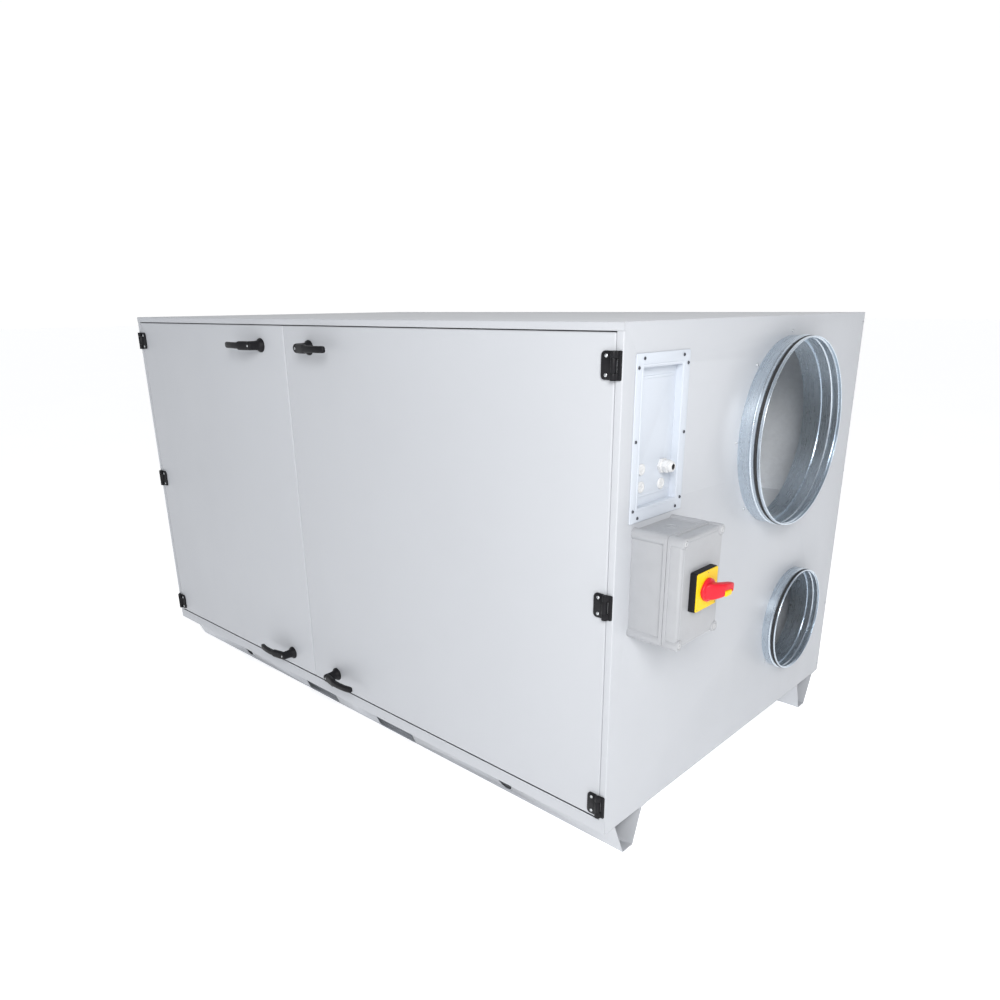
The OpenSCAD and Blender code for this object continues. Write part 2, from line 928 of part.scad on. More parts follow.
grip_back = yellow_front + 0.3;
grip_end = yellow_front + grip_front;
grip_step = 6;
grip_w = 22;
grip_chamfer = 24;
tab_y = [24, grip_reach - 9];
tab_x = [grip_end - 18, grip_end - 0.5];
tab_w = 8;
tab_out = 3;
tab_clear = 0.3;

module switch_grip() {
    color(signal_red)
        translate([0, switch_y, switch_z])
            difference() {
                union() {
                    along_x(isolator_front - socket_depth + 2, grip_back + tiny, switch_shaft_r);
                    along_x(grip_back, grip_back + grip_step, grip_base_r);
                    along_x(grip_back + grip_step, grip_back + 2 * grip_step, grip_base_r - grip_step);
                    block(
                        [grip_back + grip_step, 2 - grip_base_r + grip_step, -grip_w / 2],
                        [grip_end, grip_reach, grip_w / 2]
                    );
                }
                tab_pocket();
                translate([0, -grip_base_r, 0])
                    rotate([0, 0, 45])
                        cube([grip_chamfer, grip_chamfer, grip_w + 2 * cut], center = true);
            }
}

// Notch in the lower outer edge of the grip where the padlock tab slides
module tab_pocket() {
    block(
        [tab_x[0] - tab_clear, tab_y[0] - tab_clear, -grip_w / 2 - cut],
        [grip_end + cut, tab_y[1] + tab_clear, -grip_w / 2 + tab_w + tab_clear]
    );
}

module padlock_tab() {
    color(signal_yellow)
        translate([0, switch_y, switch_z])
            block([tab_x[0], tab_y[0], -grip_w / 2 - tab_out], [tab_x[1], tab_y[1], -grip_w / 2 + tab_w]);
}

// Air path inside the casing

module air_shelf() {
    block(
        [exchanger_x + exchanger_half + post_w - post_bite, cavity[0][1], shelf_top - shelf_t],
        [cavity[1][0], cavity[1][1], shelf_top]
    );
}

module air_shelves() {
    color(bright_metal) {
        air_shelf();
        at_left_end() air_shelf();
    }
}

post_w = 14;
post_bite = 2;
core_front = cavity[0][1] + mullion_d + 10;
core_back = cavity[1][1] - 10;

// Square prism along Y that stands on its edge
module diamond(y0, y1, half) {
    translate([exchanger_x, y1, exchanger_z])
        rotate([90, 0, 0])
            linear_extrude(height = y1 - y0)
                rotate([0, 0, 45])
                    square(half * sqrt(2), center = true);
}

// Copies on the diamond's four corners
module each_corner() {
    for (a = [0 : 90 : 270])
        translate([exchanger_x, 0, exchanger_z]) rotate([0, a, 0]) children();
}

module exchanger_core() {
    edge = 12;
    core_half = exchanger_half - 4;
    plates = floor((core_back - core_front) / plate_pitch);
    color(bright_metal) {
        for (i = [0 : plates])
            diamond(core_front + i * plate_pitch, core_front + i * plate_pitch + plate_t, core_half);
        each_corner()
            translate([core_half - edge, core_front, -edge / 2])
                cube([edge / 2, plates * plate_pitch + plate_t, edge]);
    }
}

// Corner posts, an end plate at the front and the back, and blades to the roof and the floor
module exchanger_frame() {
    end_t = 2;
    y0 = core_front - 8;
    y1 = core_back + end_t;
    blade_z = exchanger_half + post_w - post_bite - 1;
    color(zinc) {
        each_corner()
            translate([exchanger_half - post_bite, y0, -post_w / 2]) cube([post_w, y1 - y0, post_w]);
        diamond(y0, y0 + end_t, exchanger_half + post_bite);
        diamond(core_back, y1, exchanger_half + post_bite);
        block(
            [exchanger_x - post_w / 2, y0, exchanger_z + blade_z],
            [exchanger_x + post_w / 2, y1, cavity[1][2]]
        );
        block(
            [exchanger_x - post_w / 2, y0, cavity[0][2]],
            [exchanger_x + post_w / 2, y1, exchanger_z - blade_z]
        );
    }
}

// Card frame with a zigzag sheet of medium across it
module filter_cassette() {
    border = 25;
    medium_t = 4;
    y0 = cavity[0][1] + mullion_d;
    y1 = cavity[1][1] - 2;
    z0 = shelf_top;
    z1 = cavity[1][2] - 2;
    pleat = 40;
    pleats = floor((y1 - y0 - 2 * border) / pleat);
    difference() {
        block([filter_x[0], y0, z0], [filter_x[1], y1, z1]);
        block([filter_x[0] - cut, y0 + border, z0 + border], [filter_x[1] + cut, y1 - border, z1 - border]);
    }
    for (i = [0 : pleats - 1])
        translate([0, y0 + border + i * pleat, z0 + border - tiny])
            linear_extrude(height = z1 - z0 - 2 * border + 2 * tiny)
                polygon([
                    [filter_x[0] + medium_t, 0], [filter_x[1] - 2 * medium_t, pleat / 2],
                    [filter_x[0] + medium_t, pleat], [filter_x[0] + 2 * medium_t, pleat],
                    [filter_x[1] - medium_t, pleat / 2], [filter_x[0] + 2 * medium_t, 0]
                ]);
}

module filter_cassettes() {
    color([0.9, 0.9, 0.86]) {
        filter_cassette();
        at_left_end() filter_cassette();
    }
}

// Fans: a plate across the lower chamber with an inlet ring, arms that carry the motor, and a wheel

wheel_front = fan_plate_x + fan_plate_t + 6;
wheel_back = wheel_front + fan_depth;
motor_plate_x = wheel_back + 40;
arm_reach = fan_r + 20;
arm_r = 7;

module fan_plate() {
    difference() {
        block(
            [fan_plate_x, cavity[0][1], cavity[0][2]],
            [fan_plate_x + fan_plate_t, cavity[1][1], shelf_top - shelf_t]
        );
        translate([0, fan_y, fan_z])
            along_x(fan_plate_x - cut, fan_plate_x + fan_plate_t + cut, inlet_r, round_fn);
    }
    for (a = [45 : 90 : 315])
        translate([0, fan_y, fan_z])
            rotate([a, 0, 0])
                translate([0, arm_reach, 0])
                    along_x(fan_plate_x + fan_plate_t - tiny, motor_plate_x, arm_r);
    translate([fan_plate_x, fan_y, fan_z])
        rotate([0, 90, 0])
            rotate_extrude($fn = round_fn)
                inlet_ring();
}

// Half section of the inlet ring, which narrows from the plate into the wheel's mouth
module inlet_ring() {
    throat = inlet_r - 14;
    depth = 20;
    wall = 2;
    polygon([
        [inlet_r + tiny, 0], [throat + 3, depth / 2], [throat, depth],
        [throat + wall, depth], [throat + 3 + wall, depth / 2], [inlet_r + tiny, fan_plate_t]
    ]);
}

module fan_plates() {
    color(zinc) {
        fan_plate();
        at_left_end() fan_plate();
    }
}

// Two crossed bars on the arms' ends, the motor in front of them and its shaft
module fan_motor() {
    bar_half_l = arm_reach + 12;
    bar_half_w = 15;
    bar_t = 4;
    motor_r = 70;
    motor_l = 25;
    translate([motor_plate_x, fan_y, fan_z]) {
        for (a = [45, 135])
            rotate([a, 0, 0])
                block([0, -bar_half_l, -bar_half_w], [bar_t, bar_half_l, bar_half_w]);
        along_x(-motor_l, tiny, motor_r, round_fn);
        along_x(wheel_front + 20 - motor_plate_x, 0, motor_shaft_r);
    }
}

module fan_motors() {
    color([0.2, 0.2, 0.22]) {
        fan_motor();
        at_left_end() fan_motor();
    }
}

// The blades start outside the inlet ring and lean back
module fan_wheel() {
    hub_bore = motor_shaft_r + running;
    shroud_t = 3;
    eye_r = inlet_r - 6;
    blade_l = 94;
    blade_t = 3;
    translate([0, fan_y, fan_z])
        difference() {
            union() {
                along_x(wheel_back - shroud_t, wheel_back, fan_r, round_fn);
                along_x(wheel_back - 50, wheel_back, 55, round_fn);
                difference() {
                    along_x(wheel_front, wheel_front + shroud_t, fan_r, round_fn);
                    along_x(wheel_front - cut, wheel_front + shroud_t + cut, eye_r, round_fn);
                }
                for (i = [0 : blade_count - 1])
                    rotate([i * 360 / blade_count, 0, 0])
                        translate([0, eye_r + 2, 0])
                            rotate([55, 0, 0])
                                block(
                                    [wheel_front + shroud_t - tiny, 0, 0],
                                    [wheel_back - shroud_t + tiny, blade_l, blade_t]
                                );
            }
            along_x(wheel_front - cut, wheel_back + cut, hub_bore, round_fn);
        }
}

module supply_fan_wheel() color(bright_metal) at_left_end() fan_wheel();
module extract_fan_wheel() color(bright_metal) fan_wheel();

// Condensate tray with its drain pipe through the floor

// The hose end hangs below the casing on a narrower neck
drain_r = 16;
drain_neck_r = 13;
drain_bore_r = 11;
drain_x = exchanger_x + 350;
drain_y = 640;
drain_low = -70;
drain_step_z = -5;

module drain_pipe(z0, z1, r) {
    translate([drain_x, drain_y, z0]) cylinder(h = z1 - z0, r = r, $fn = small_fn);
}

module drain_hole(r) {
    drain_pipe(-cut, wall_t + cut, r);
}

module condensate_tray() {
    x = [exchanger_x + post_w, fan_plate_x - 20];
    y = [core_front, core_back];
    z0 = cavity[0][2];
    tray_h = 30;
    sheet = 1.5;
    color(bright_metal)
        difference() {
            union() {
                block([x[0], y[0], z0], [x[1], y[1], z0 + tray_h]);
                drain_pipe(drain_low, drain_step_z, drain_r);
                drain_pipe(drain_step_z - tiny, z0 + tiny, drain_neck_r);
            }
            block([x[0] + sheet, y[0] + sheet, z0 + sheet], [x[1] - sheet, y[1] - sheet, z0 + tray_h + cut]);
            drain_pipe(drain_low - cut, z0 + tray_h, drain_bore_r);
        }
}

place() bottom_panel();
place() top_panel();
place() back_panel();
place() left_end_panel();
place() right_end_panel();
place() front_frame();
place() inner_liner();
place() wall_insulation();
place() front_base_rail();
place() rear_base_rail();
place() door_seals();
place() hinge_frame_leaves();
place() hinge_pins();
place() right_intake_spigot();
place() right_discharge_spigot();
place() left_intake_spigot();
place() left_discharge_spigot();
place() spigot_seals();
place() casing_screws();
place() access_frame();
place() access_plate();
place() control_box();
place() cable_entries();
place() switch_box_base();
place() switch_box_lid();
place() switch_box_screws();
place() switch_base_plate();
place() switch_yellow_plate();
place() isolator_block();
place() switch_grip();
place() padlock_tab();
place() left_door_skin();
place() left_door_core();
place() left_door_liner();
place() left_hinge_door_leaves();
place() left_hinge_screws();
place() left_handle_collars();
place() left_top_lever();
place() left_top_cam();
place() left_bottom_lever();
place() left_bottom_cam();
place() right_door_skin();
place() right_door_core();
place() right_door_liner();
place() right_hinge_door_leaves();
place() right_hinge_screws();
place() right_handle_collars();
place() right_top_lever();
place() right_top_cam();
place() right_bottom_lever();
place() right_bottom_cam();
place() air_shelves();
place() exchanger_core();
place() exchanger_frame();
place() filter_cassettes();
place() fan_plates();
place() fan_motors();
place() supply_fan_wheel();
place() extract_fan_wheel();
place() condensate_tray();
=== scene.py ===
"""Looks of the heat recovery unit: pieces, materials, floor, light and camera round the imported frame."""
import json
import math

import bmesh
import bpy
from mathutils import Matrix, Vector


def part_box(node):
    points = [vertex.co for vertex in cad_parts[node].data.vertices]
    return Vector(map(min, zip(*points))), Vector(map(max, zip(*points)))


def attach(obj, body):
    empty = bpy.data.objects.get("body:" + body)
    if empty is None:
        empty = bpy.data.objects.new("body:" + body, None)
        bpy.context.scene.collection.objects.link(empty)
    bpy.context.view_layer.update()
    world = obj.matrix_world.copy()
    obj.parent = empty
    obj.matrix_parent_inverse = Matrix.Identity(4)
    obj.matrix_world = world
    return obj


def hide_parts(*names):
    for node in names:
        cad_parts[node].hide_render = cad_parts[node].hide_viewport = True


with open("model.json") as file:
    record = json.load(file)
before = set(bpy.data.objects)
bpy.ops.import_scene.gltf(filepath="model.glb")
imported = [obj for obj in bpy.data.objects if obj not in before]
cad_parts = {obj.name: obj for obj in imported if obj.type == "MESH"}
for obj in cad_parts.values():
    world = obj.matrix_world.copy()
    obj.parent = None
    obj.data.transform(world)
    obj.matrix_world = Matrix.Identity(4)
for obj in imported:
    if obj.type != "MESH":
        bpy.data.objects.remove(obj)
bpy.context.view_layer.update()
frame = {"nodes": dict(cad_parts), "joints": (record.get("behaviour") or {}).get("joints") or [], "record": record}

MM = 0.001
FULL_TURN = 2 * math.pi

# ---- places taken from the frame

CASING_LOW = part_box("bottom_panel")[0]
CASING_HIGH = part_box("top_panel")[1]
CASING = CASING_HIGH - CASING_LOW
SIDES = ("left", "right")
LEVELS = ("top", "bottom")


def at(x, y, z):
    """A point given in metres from the casing's left, front, bottom corner."""
    return CASING_LOW + Vector((x, y, z))


def sided(*names):
    """Node names with each side put before each name."""
    return [f"{side}_{name}" for side in SIDES for name in names]


def out(point):
    """How far a point stands out from the right end, in millimetres."""
    return (point.x - CASING_HIGH.x) / MM


def on_front(point):
    """The point moved onto the casing's front plane."""
    return Vector((point.x, CASING_LOW.y, point.z))


# ---- shader helpers


class Nodes:
    """A material's node tree with short ways to add and link nodes."""

    def __init__(self, name):
        self.material = bpy.data.materials.new(name)
        self.material.use_nodes = True
        self.tree = self.material.node_tree
        self.shader = self.tree.nodes["Principled BSDF"]
        self.place = self.add("ShaderNodeTexCoord").outputs["Object"]

    def add(self, kind, inputs=None, **settings):
        node = self.tree.nodes.new(kind)
        for key, value in settings.items():
            setattr(node, key, value)
        for key, value in (inputs or {}).items():
            node.inputs[key].default_value = value
        return node

    def link(self, source, target):
        self.tree.links.new(source, target)

    def value(self, socket, number):
        self.shader.inputs[socket].default_value = number

    def stretched(self, scale):
        mapping = self.add("ShaderNodeMapping", {"Scale": scale})
        self.link(self.place, mapping.inputs["Vector"])
        return mapping.outputs["Vector"]

    def noise(self, scale, detail=4.0, rough=0.55, vector=None):
        node = self.add("ShaderNodeTexNoise", {"Scale": scale, "Detail": detail, "Roughness": rough})
        self.link(vector or self.place, node.inputs["Vector"])
        return node.outputs["Fac"]

    def cells(self, scale):
        node = self.add("ShaderNodeTexVoronoi", {"Scale": scale})
        self.link(self.place, node.inputs["Vector"])
        return node.outputs["Color"]

    def span(self, source, low, high, start=0.3, stop=0.7):
        """The source squeezed from start..stop into low..high."""
        limits = {"From Min": start, "From Max": stop, "To Min": low, "To Max": high}
        node = self.add("ShaderNodeMapRange", limits)
        self.link(source, node.inputs["Value"])
        return node.outputs["Result"]

    def blend(self, factor, dark, light):
        node = self.add("ShaderNodeMix", data_type="RGBA")
        node.inputs["A"].default_value = (*dark, 1)
        node.inputs["B"].default_value = (*light, 1)
        self.link(factor, node.inputs["Factor"])
        return node.outputs["Result"]

    def combine(self, operation, first, second):
        node = self.add("ShaderNodeMath", operation=operation)
        for socket, source in zip(node.inputs, (first, second)):
            if isinstance(source, (int, float)):
                socket.default_value = source
            else:
                self.link(source, socket)
        return node.outputs["Value"]

    def bump(self, height, strength, distance):
        node = self.add("ShaderNodeBump", {"Strength": strength, "Distance": distance})
        self.link(height, node.inputs["Height"])
        self.link(node.outputs["Normal"], self.shader.inputs["Normal"])

    def colour(self, source):
        self.link(source, self.shader.inputs["Base Color"])

    def rough(self, source):
        self.link(source, self.shader.inputs["Roughness"])


def shade(colour, factor):
    return tuple(min(1.0, c * factor) for c in colour)


def painted_sheet(name, colour):
    """Powder coat: fine orange peel, faint cloudiness and a few duller patches."""
    m = Nodes(name)
    gloss = 0.42
    cloud = m.noise(1.7, detail=3)
    m.colour(m.blend(m.span(cloud, 0, 1), shade(colour, 0.985), shade(colour, 1.01)))
    smear = m.noise(9, detail=6, vector=m.stretched((1, 1, 0.35)))
    m.rough(m.span(smear, gloss - 0.04, gloss + 0.05))
    m.value("Specular IOR Level", 0.3)
    m.bump(m.noise(650, detail=2), 0.05, 0.0003)
    return m.material


def galvanised(name, colour, streak=(1, 1, 1), gloss=0.3, metal=0.85, spangle=0.2):
    """Zinc-coated steel: faint spangle cells over rolling streaks that differ in tone and gloss."""
    m = Nodes(name)
    flakes = m.add("ShaderNodeSeparateColor")
    m.link(m.cells(95), flakes.inputs["Color"])
    lines = m.noise(14, detail=5, vector=m.stretched(streak))
    cell = m.combine("MULTIPLY", flakes.outputs["Red"], spangle)
    tone = m.combine("ADD", cell, m.combine("MULTIPLY", lines, 1 - spangle))
    m.colour(m.blend(m.span(tone, 0, 1, 0.25, 0.75), shade(colour, 0.93), shade(colour, 1.05)))
    m.rough(m.span(tone, gloss - 0.04, gloss + 0.07, 0.25, 0.75))
    m.value("Metallic", metal)
    m.bump(tone, 0.04, 0.0003)
    return m.material


def moulded(name, colour, gloss, grain=1400, depth=0.08, shine=0.5):
    """Moulded plastic: a fine spark-eroded grain and slight tone changes."""
    m = Nodes(name)
    cloud = m.noise(30, detail=3)
    m.colour(m.blend(m.span(cloud, 0, 1), shade(colour, 0.975), shade(colour, 1.02)))
    m.rough(m.span(m.noise(160, detail=4), gloss - 0.04, gloss + 0.06))
    m.bump(m.noise(grain, detail=3), depth, 0.0003)
    m.value("Specular IOR Level", shine)
    return m.material


def rubber(name):
    m = Nodes(name)
    m.colour(m.blend(m.span(m.noise(90), 0, 1), (0.012, 0.012, 0.014), (0.03, 0.03, 0.033)))
    m.rough(m.span(m.noise(240), 0.6, 0.78))
    m.bump(m.noise(700, detail=4), 0.15, 0.0003)
    return m.material


def plated(name, colour, gloss=0.28):
    """Zinc-plated fastener steel."""
    m = Nodes(name)
    worn = m.noise(220, detail=5)
    m.colour(m.blend(m.span(worn, 0, 1), shade(colour, 0.75), shade(colour, 1.1)))
    m.rough(m.span(worn, gloss - 0.05, gloss + 0.15))
    m.value("Metallic", 0.9)
    m.bump(worn, 0.1, 0.0002)
    return m.material


def fibre(name, dark, light, scale):
    m = Nodes(name)
    tangle = m.noise(scale, detail=8, rough=0.75, vector=m.stretched((1, 3, 1)))
    m.colour(m.blend(m.span(tangle, 0, 1), dark, light))
    m.rough(m.span(tangle, 0.85, 0.98))
    m.bump(tangle, 0.6, 0.002)
    return m.material


WHITE = (0.513, 0.530, 0.560)
paint = painted_sheet("white_powder_coat", WHITE)
access_paint = painted_sheet("bright_powder_coat", (0.57, 0.61, 0.67))
zinc_sheet = galvanised("galvanised_sheet", (0.66, 0.70, 0.75), (1, 6, 1), 0.36, 0.4)
# The liner's zinc is paler and far less metallic than the other galvanised sheet: painted light that stands in for
# light falling on the casing's inside, seen through the spigots.
zinc_liner_painted_light = galvanised("galvanised_liner_painted_light", (0.80, 0.83, 0.87), (1, 6, 1), 0.4, 0.1)
zinc_ring = galvanised("galvanised_spigot", (0.60, 0.67, 0.74), (26, 1.2, 1.2), 0.27, 0.9, 0.08)
aluminium = galvanised("mill_aluminium", (0.74, 0.75, 0.76), (1, 1, 12), 0.32)
black = moulded("black_nylon", (0.010, 0.010, 0.012), 0.45, shine=0.18)
white_plastic = moulded("white_nylon", (0.66, 0.665, 0.67), 0.4, shine=0.3)
pale_plastic = moulded("pale_screw_caps", (0.50, 0.51, 0.525), 0.4)
grey_plastic = moulded("grey_enclosure_plastic", (0.385, 0.395, 0.415), 0.36, 900, 0.05)
yellow = moulded("yellow_plastic", (0.88, 0.60, 0.006), 0.4, shine=0.25)
red = moulded("red_plastic", (0.66, 0.014, 0.030), 0.38, shine=0.3)
seal_rubber = rubber("seal_rubber")
screw_steel = plated("zinc_plated_screws", (0.62, 0.64, 0.66))
dark_screw = plated("dark_screws", (0.10, 0.105, 0.12), 0.38)
wool = fibre("mineral_wool", (0.45, 0.38, 0.16), (0.70, 0.62, 0.34), 160)
filter_cloth = fibre("filter_media", (0.66, 0.67, 0.66), (0.85, 0.85, 0.83), 420)
dark_casting = moulded("black_motor_coat", (0.02, 0.02, 0.022), 0.5, 500, 0.2)

SPIGOTS = sided("intake_spigot", "discharge_spigot")
CAMS = sided("top_cam", "bottom_cam")

NODES_OF = (
    (paint, ["bottom_panel", "top_panel", "back_panel", "front_frame", "front_base_rail",
             "rear_base_rail", "access_frame", "access_plate"] + sided("end_panel", "door_skin")),
    (zinc_sheet, ["exchanger_frame", "fan_plates", "control_box", "condensate_tray"] + sided("door_liner")),
    (zinc_liner_painted_light, ["inner_liner", "air_shelves"]),
    (zinc_ring, SPIGOTS),
    (wool, ["wall_insulation"] + sided("door_core")),
    (seal_rubber, ["door_seals", "spigot_seals"]),
    (screw_steel, ["casing_screws", "hinge_pins"] + sided("hinge_screws") + CAMS),
    (black, ["hinge_frame_leaves", "switch_base_plate", "isolator_block"]
     + sided("hinge_door_leaves", "handle_collars", "top_lever", "bottom_lever")),
    (white_plastic, ["cable_entries", "switch_box_screws"]),
    (grey_plastic, ["switch_box_base", "switch_box_lid"]),
    (yellow, ["switch_yellow_plate", "padlock_tab"]),
    (red, ["switch_grip"]),
    (aluminium, ["exchanger_core", "supply_fan_wheel", "extract_fan_wheel"]),
    (filter_cloth, ["filter_cassettes"]),
    (dark_casting, ["fan_motors"]),
)

for material, nodes in NODES_OF:
    for node in nodes:
        mesh = frame["nodes"][node].data
        mesh.materials.clear()
        mesh.materials.append(material)

# ---- shapes: (points, faces) in millimetres


def rounded(corners, radius, steps=5):
    """A closed outline with its corners rounded; radius is one number or one for each corner."""
    radii = radius if isinstance(radius, (list, tuple)) else [radius] * len(corners)
    points = []
    for i, corner in enumerate(corners):
        here = Vector(corner)
        if radii[i] <= 0:
            points.append(here)
            continue
        back = (Vector(corners[i - 1]) - here).normalized()
        ahead = (Vector(corners[(i + 1) % len(corners)]) - here).normalized()
        half = back.angle(ahead) / 2
        centre = here + (back + ahead).normalized() * radii[i] / math.sin(half)
        spoke = here + back * radii[i] / math.tan(half) - centre
        last = here + ahead * radii[i] / math.tan(half) - centre
        start = math.atan2(spoke.y, spoke.x)
        sweep = (math.atan2(last.y, last.x) - start + math.pi) % FULL_TURN - math.pi
        for k in range(steps + 1):
            angle = start + sweep * k / steps
            points.append(centre + Vector((math.cos(angle), math.sin(angle))) * radii[i])
    return points


def between(u0, v0, u1, v1, radius=0, steps=5):
    """A rectangle between two corners."""
    return rounded([(u0, v0), (u1, v0), (u1, v1), (u0, v1)], radius, steps)


def rectangle(width, height, radius=0, steps=5, centre=(0, 0)):
    a, b = width / 2, height / 2
    u, v = centre
    return between(u - a, v - b, u + a, v + b, radius, steps)


def circle(radius, steps=48, centre=(0, 0)):
    angles = [k * FULL_TURN / steps for k in range(steps)]
    return [Vector((centre[0] + radius * math.cos(a), centre[1] + radius * math.sin(a))) for a in angles]


def shrunk(outline, inset):
    """The closed outline, run anticlockwise, moved inwards by inset."""
    moved = []
    for i, point in enumerate(outline):
        before = (point - outline[i - 1]).normalized()
        after = (outline[(i + 1) % len(outline)] - point).normalized()
        left = Vector((-before.y - after.y, before.x + after.x)).normalized()
        cosine = max(0.3, left.dot(Vector((-before.y, before.x))))
        moved.append(point + left * inset / cosine)
    return moved


def band(first, second, count):
    """Faces between two closed rings, given the number of each ring's first point."""
    pairs = [(i, (i + 1) % count) for i in range(count)]
    return [(first + i, first + j, second + j, second + i) for i, j in pairs]


def loft(sections):
    """A solid through closed rings of equal count, each a list of 3-D points."""
    count = len(sections[0])
    points = [tuple(p) for ring in sections for p in ring]
    faces = [tuple(reversed(range(count))), tuple(range(len(points) - count, len(points)))]
    for level in range(len(sections) - 1):
        faces += band(level * count, (level + 1) * count, count)
    return points, faces


def stack(outline, levels):
    """A solid of one outline shrunk by each level's inset at each level's height."""
    rings = [(shrunk(outline, inset) if inset else outline, height) for inset, height in levels]
    return loft([[(p.x, p.y, height) for p in ring] for ring, height in rings])


def slab(outline, low, high, edge=0.8):
    """A plate between two heights with its rims rounded."""
    return stack(outline, [(edge, low), (edge * 0.3, low + edge * 0.3), (0, low + edge),
                           (0, high - edge), (edge * 0.3, high - edge * 0.3), (edge, high)])


def brick(low, high, edge=0.8):
    """A block with rounded edges."""
    width, height = high[0] - low[0], high[1] - low[1]
    middle_point = ((low[0] + high[0]) / 2, (low[1] + high[1]) / 2)
    return slab(rectangle(width, height, edge * 1.15, 3, middle_point), low[2], high[2], edge)


def turned(profile, steps=72, start=0, sweep=FULL_TURN):
    """A closed profile of (radius, height) turned about the Z axis."""
    whole = abs(sweep - FULL_TURN) < 1e-6
    rings = steps if whole else steps + 1
    count = len(profile)
    points, faces = [], []
    for k in range(rings):
        angle = start + sweep * k / steps
        points += [(r * math.cos(angle), r * math.sin(angle), h) for r, h in profile]
    for k in range(steps):
        a, b = k * count, (k + 1) % rings * count
        for i in range(count):
            j = (i + 1) % count
            faces.append((a + i, b + i, b + j, a + j))
    if not whole:
        faces.append(tuple(range(count)))
        faces.append(tuple(reversed(range(len(points) - count, len(points)))))
    return points, faces


def button(profile, steps=48):
    """A solid of revolution that closes on its axis: the profile runs from the bottom out and up."""
    return turned([(0, profile[0][1])] + list(profile) + [(0, profile[-1][1])], steps)


def bent_sheet(path, thickness, length, radius=2.6):
    """A sheet folded along a path of (u, v), its outside on the path's right, drawn out along w."""
    edge = 0.25
    corners = [Vector(p) for p in path]
    inside = []
    for i, here in enumerate(corners):
        sides = []
        if i > 0:
            run = (here - corners[i - 1]).normalized()
            sides.append(Vector((-run.y, run.x)))
        if i < len(corners) - 1:
            run = (corners[i + 1] - here).normalized()
            sides.append(Vector((-run.y, run.x)))
        normal = sum(sides, Vector((0, 0))).normalized()
        inside.append(here + normal * thickness / normal.dot(sides[0]))
    outline = corners + inside[::-1]
    last = len(corners) - 1
    radii = []
    for bend in (radius, max(radius - thickness, 0.4)):
        radii += [edge] + [bend] * (last - 1) + [edge]
    return stack(rounded(outline, radii, 6), [(0, 0), (0, length)])


def pierced(outline, holes, low, high, edge=0.6):
    """A plate with holes through it and rounded rims, made from a filled flat curve."""
    curve = bpy.data.curves.new("flat", "CURVE")
    curve.dimensions = "2D"
    curve.fill_mode = "BOTH"
    curve.extrude = (high - low) / 2 - edge
    curve.bevel_depth = edge
    curve.bevel_resolution = 2
    curve.offset = -edge
    for loop in [outline] + holes:
        spline = curve.splines.new("POLY")
        spline.points.add(len(loop) - 1)
        for point, place in zip(spline.points, loop):
            point.co = (place[0], place[1], 0, 1)
        spline.use_cyclic_u = True
    holder = bpy.data.objects.new("flat", curve)
    flat = bpy.data.meshes.new_from_object(holder)
    lift = (high + low) / 2
    points = [(v.co.x, v.co.y, v.co.z + lift) for v in flat.vertices]
    faces = [tuple(p.vertices) for p in flat.polygons]
    bpy.data.objects.remove(holder)
    bpy.data.curves.remove(curve)
    bpy.data.meshes.remove(flat)
    return points, faces


def squarish(half_u, half_v, centre, power=3.0, steps=28):
    """A ring between an ellipse and a rectangle, as (u, v) offsets from a centre."""
    ring = []
    for k in range(steps):
        angle = k * FULL_TURN / steps
        c, s = math.cos(angle), math.sin(angle)
        ring.append((centre[0] + half_u * math.copysign(abs(c) ** (2 / power), c),
                     centre[1] + half_v * math.copysign(abs(s) ** (2 / power), s)))
    return ring


# ---- pieces

# Axes of a piece that faces the front, the back, the right end, the left end or up. The right end's
# axes also carry a profile that is drawn in (y, z) and runs along X.
FRONT = Matrix(((1, 0, 0), (0, 0, 1), (0, -1, 0))).transposed()
BACK = Matrix(((-1, 0, 0), (0, 0, 1), (0, 1, 0))).transposed()
RIGHT = Matrix(((0, 1, 0), (0, 0, 1), (1, 0, 0))).transposed()
LEFT = Matrix(((0, -1, 0), (0, 0, 1), (-1, 0, 0))).transposed()
UP = Matrix.Identity(3)


def seat(place, facing=UP, flip=False):
    """Millimetres at a place and facing to metres in the row frame; flip mirrors left and right."""
    size = Matrix.Diagonal((-MM if flip else MM, MM, MM, 1))
    return Matrix.Translation(place) @ facing.to_4x4() @ size


def new_object(name, data):
    """An object that holds this data, linked to the scene."""
    thing = bpy.data.objects.new(name, data)
    bpy.context.scene.collection.objects.link(thing)
    return thing


class Piece:
    """A mesh put together from shapes, then given its finish, its body and the nodes it stands for."""

    def __init__(self, name):
        self.name = name
        self.points, self.faces, self.slots, self.materials = [], [], [], []

    def add(self, shape, matrix, material=None):
        points, faces = shape
        start = len(self.points)
        self.points += [matrix @ Vector(p) for p in points]
        mirrored = matrix.determinant() < 0
        self.faces += [tuple(start + i for i in (reversed(f) if mirrored else f)) for f in faces]
        if material not in self.materials:
            self.materials.append(material)
        self.slots += [self.materials.index(material)] * len(faces)
        return self

    def done(self, body, material, nodes=(), angle=32):
        mesh = bpy.data.meshes.new(self.name)
        mesh.from_pydata(self.points, [], self.faces)
        for entry in self.materials:
            mesh.materials.append(entry or material)
        mesh.polygons.foreach_set("material_index", self.slots)
        tidy = bmesh.new()
        tidy.from_mesh(mesh)
        bmesh.ops.remove_doubles(tidy, verts=tidy.verts, dist=1e-6)
        bmesh.ops.dissolve_degenerate(tidy, edges=tidy.edges, dist=1e-7)
        bmesh.ops.recalc_face_normals(tidy, faces=tidy.faces)
        tidy.to_mesh(mesh)
        tidy.free()
        mesh.shade_smooth()
        mesh.set_sharp_from_angle(angle=math.radians(angle))
        piece = new_object(self.name, mesh)
        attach(piece, body)
        if nodes:
            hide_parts(*nodes)
        return piece


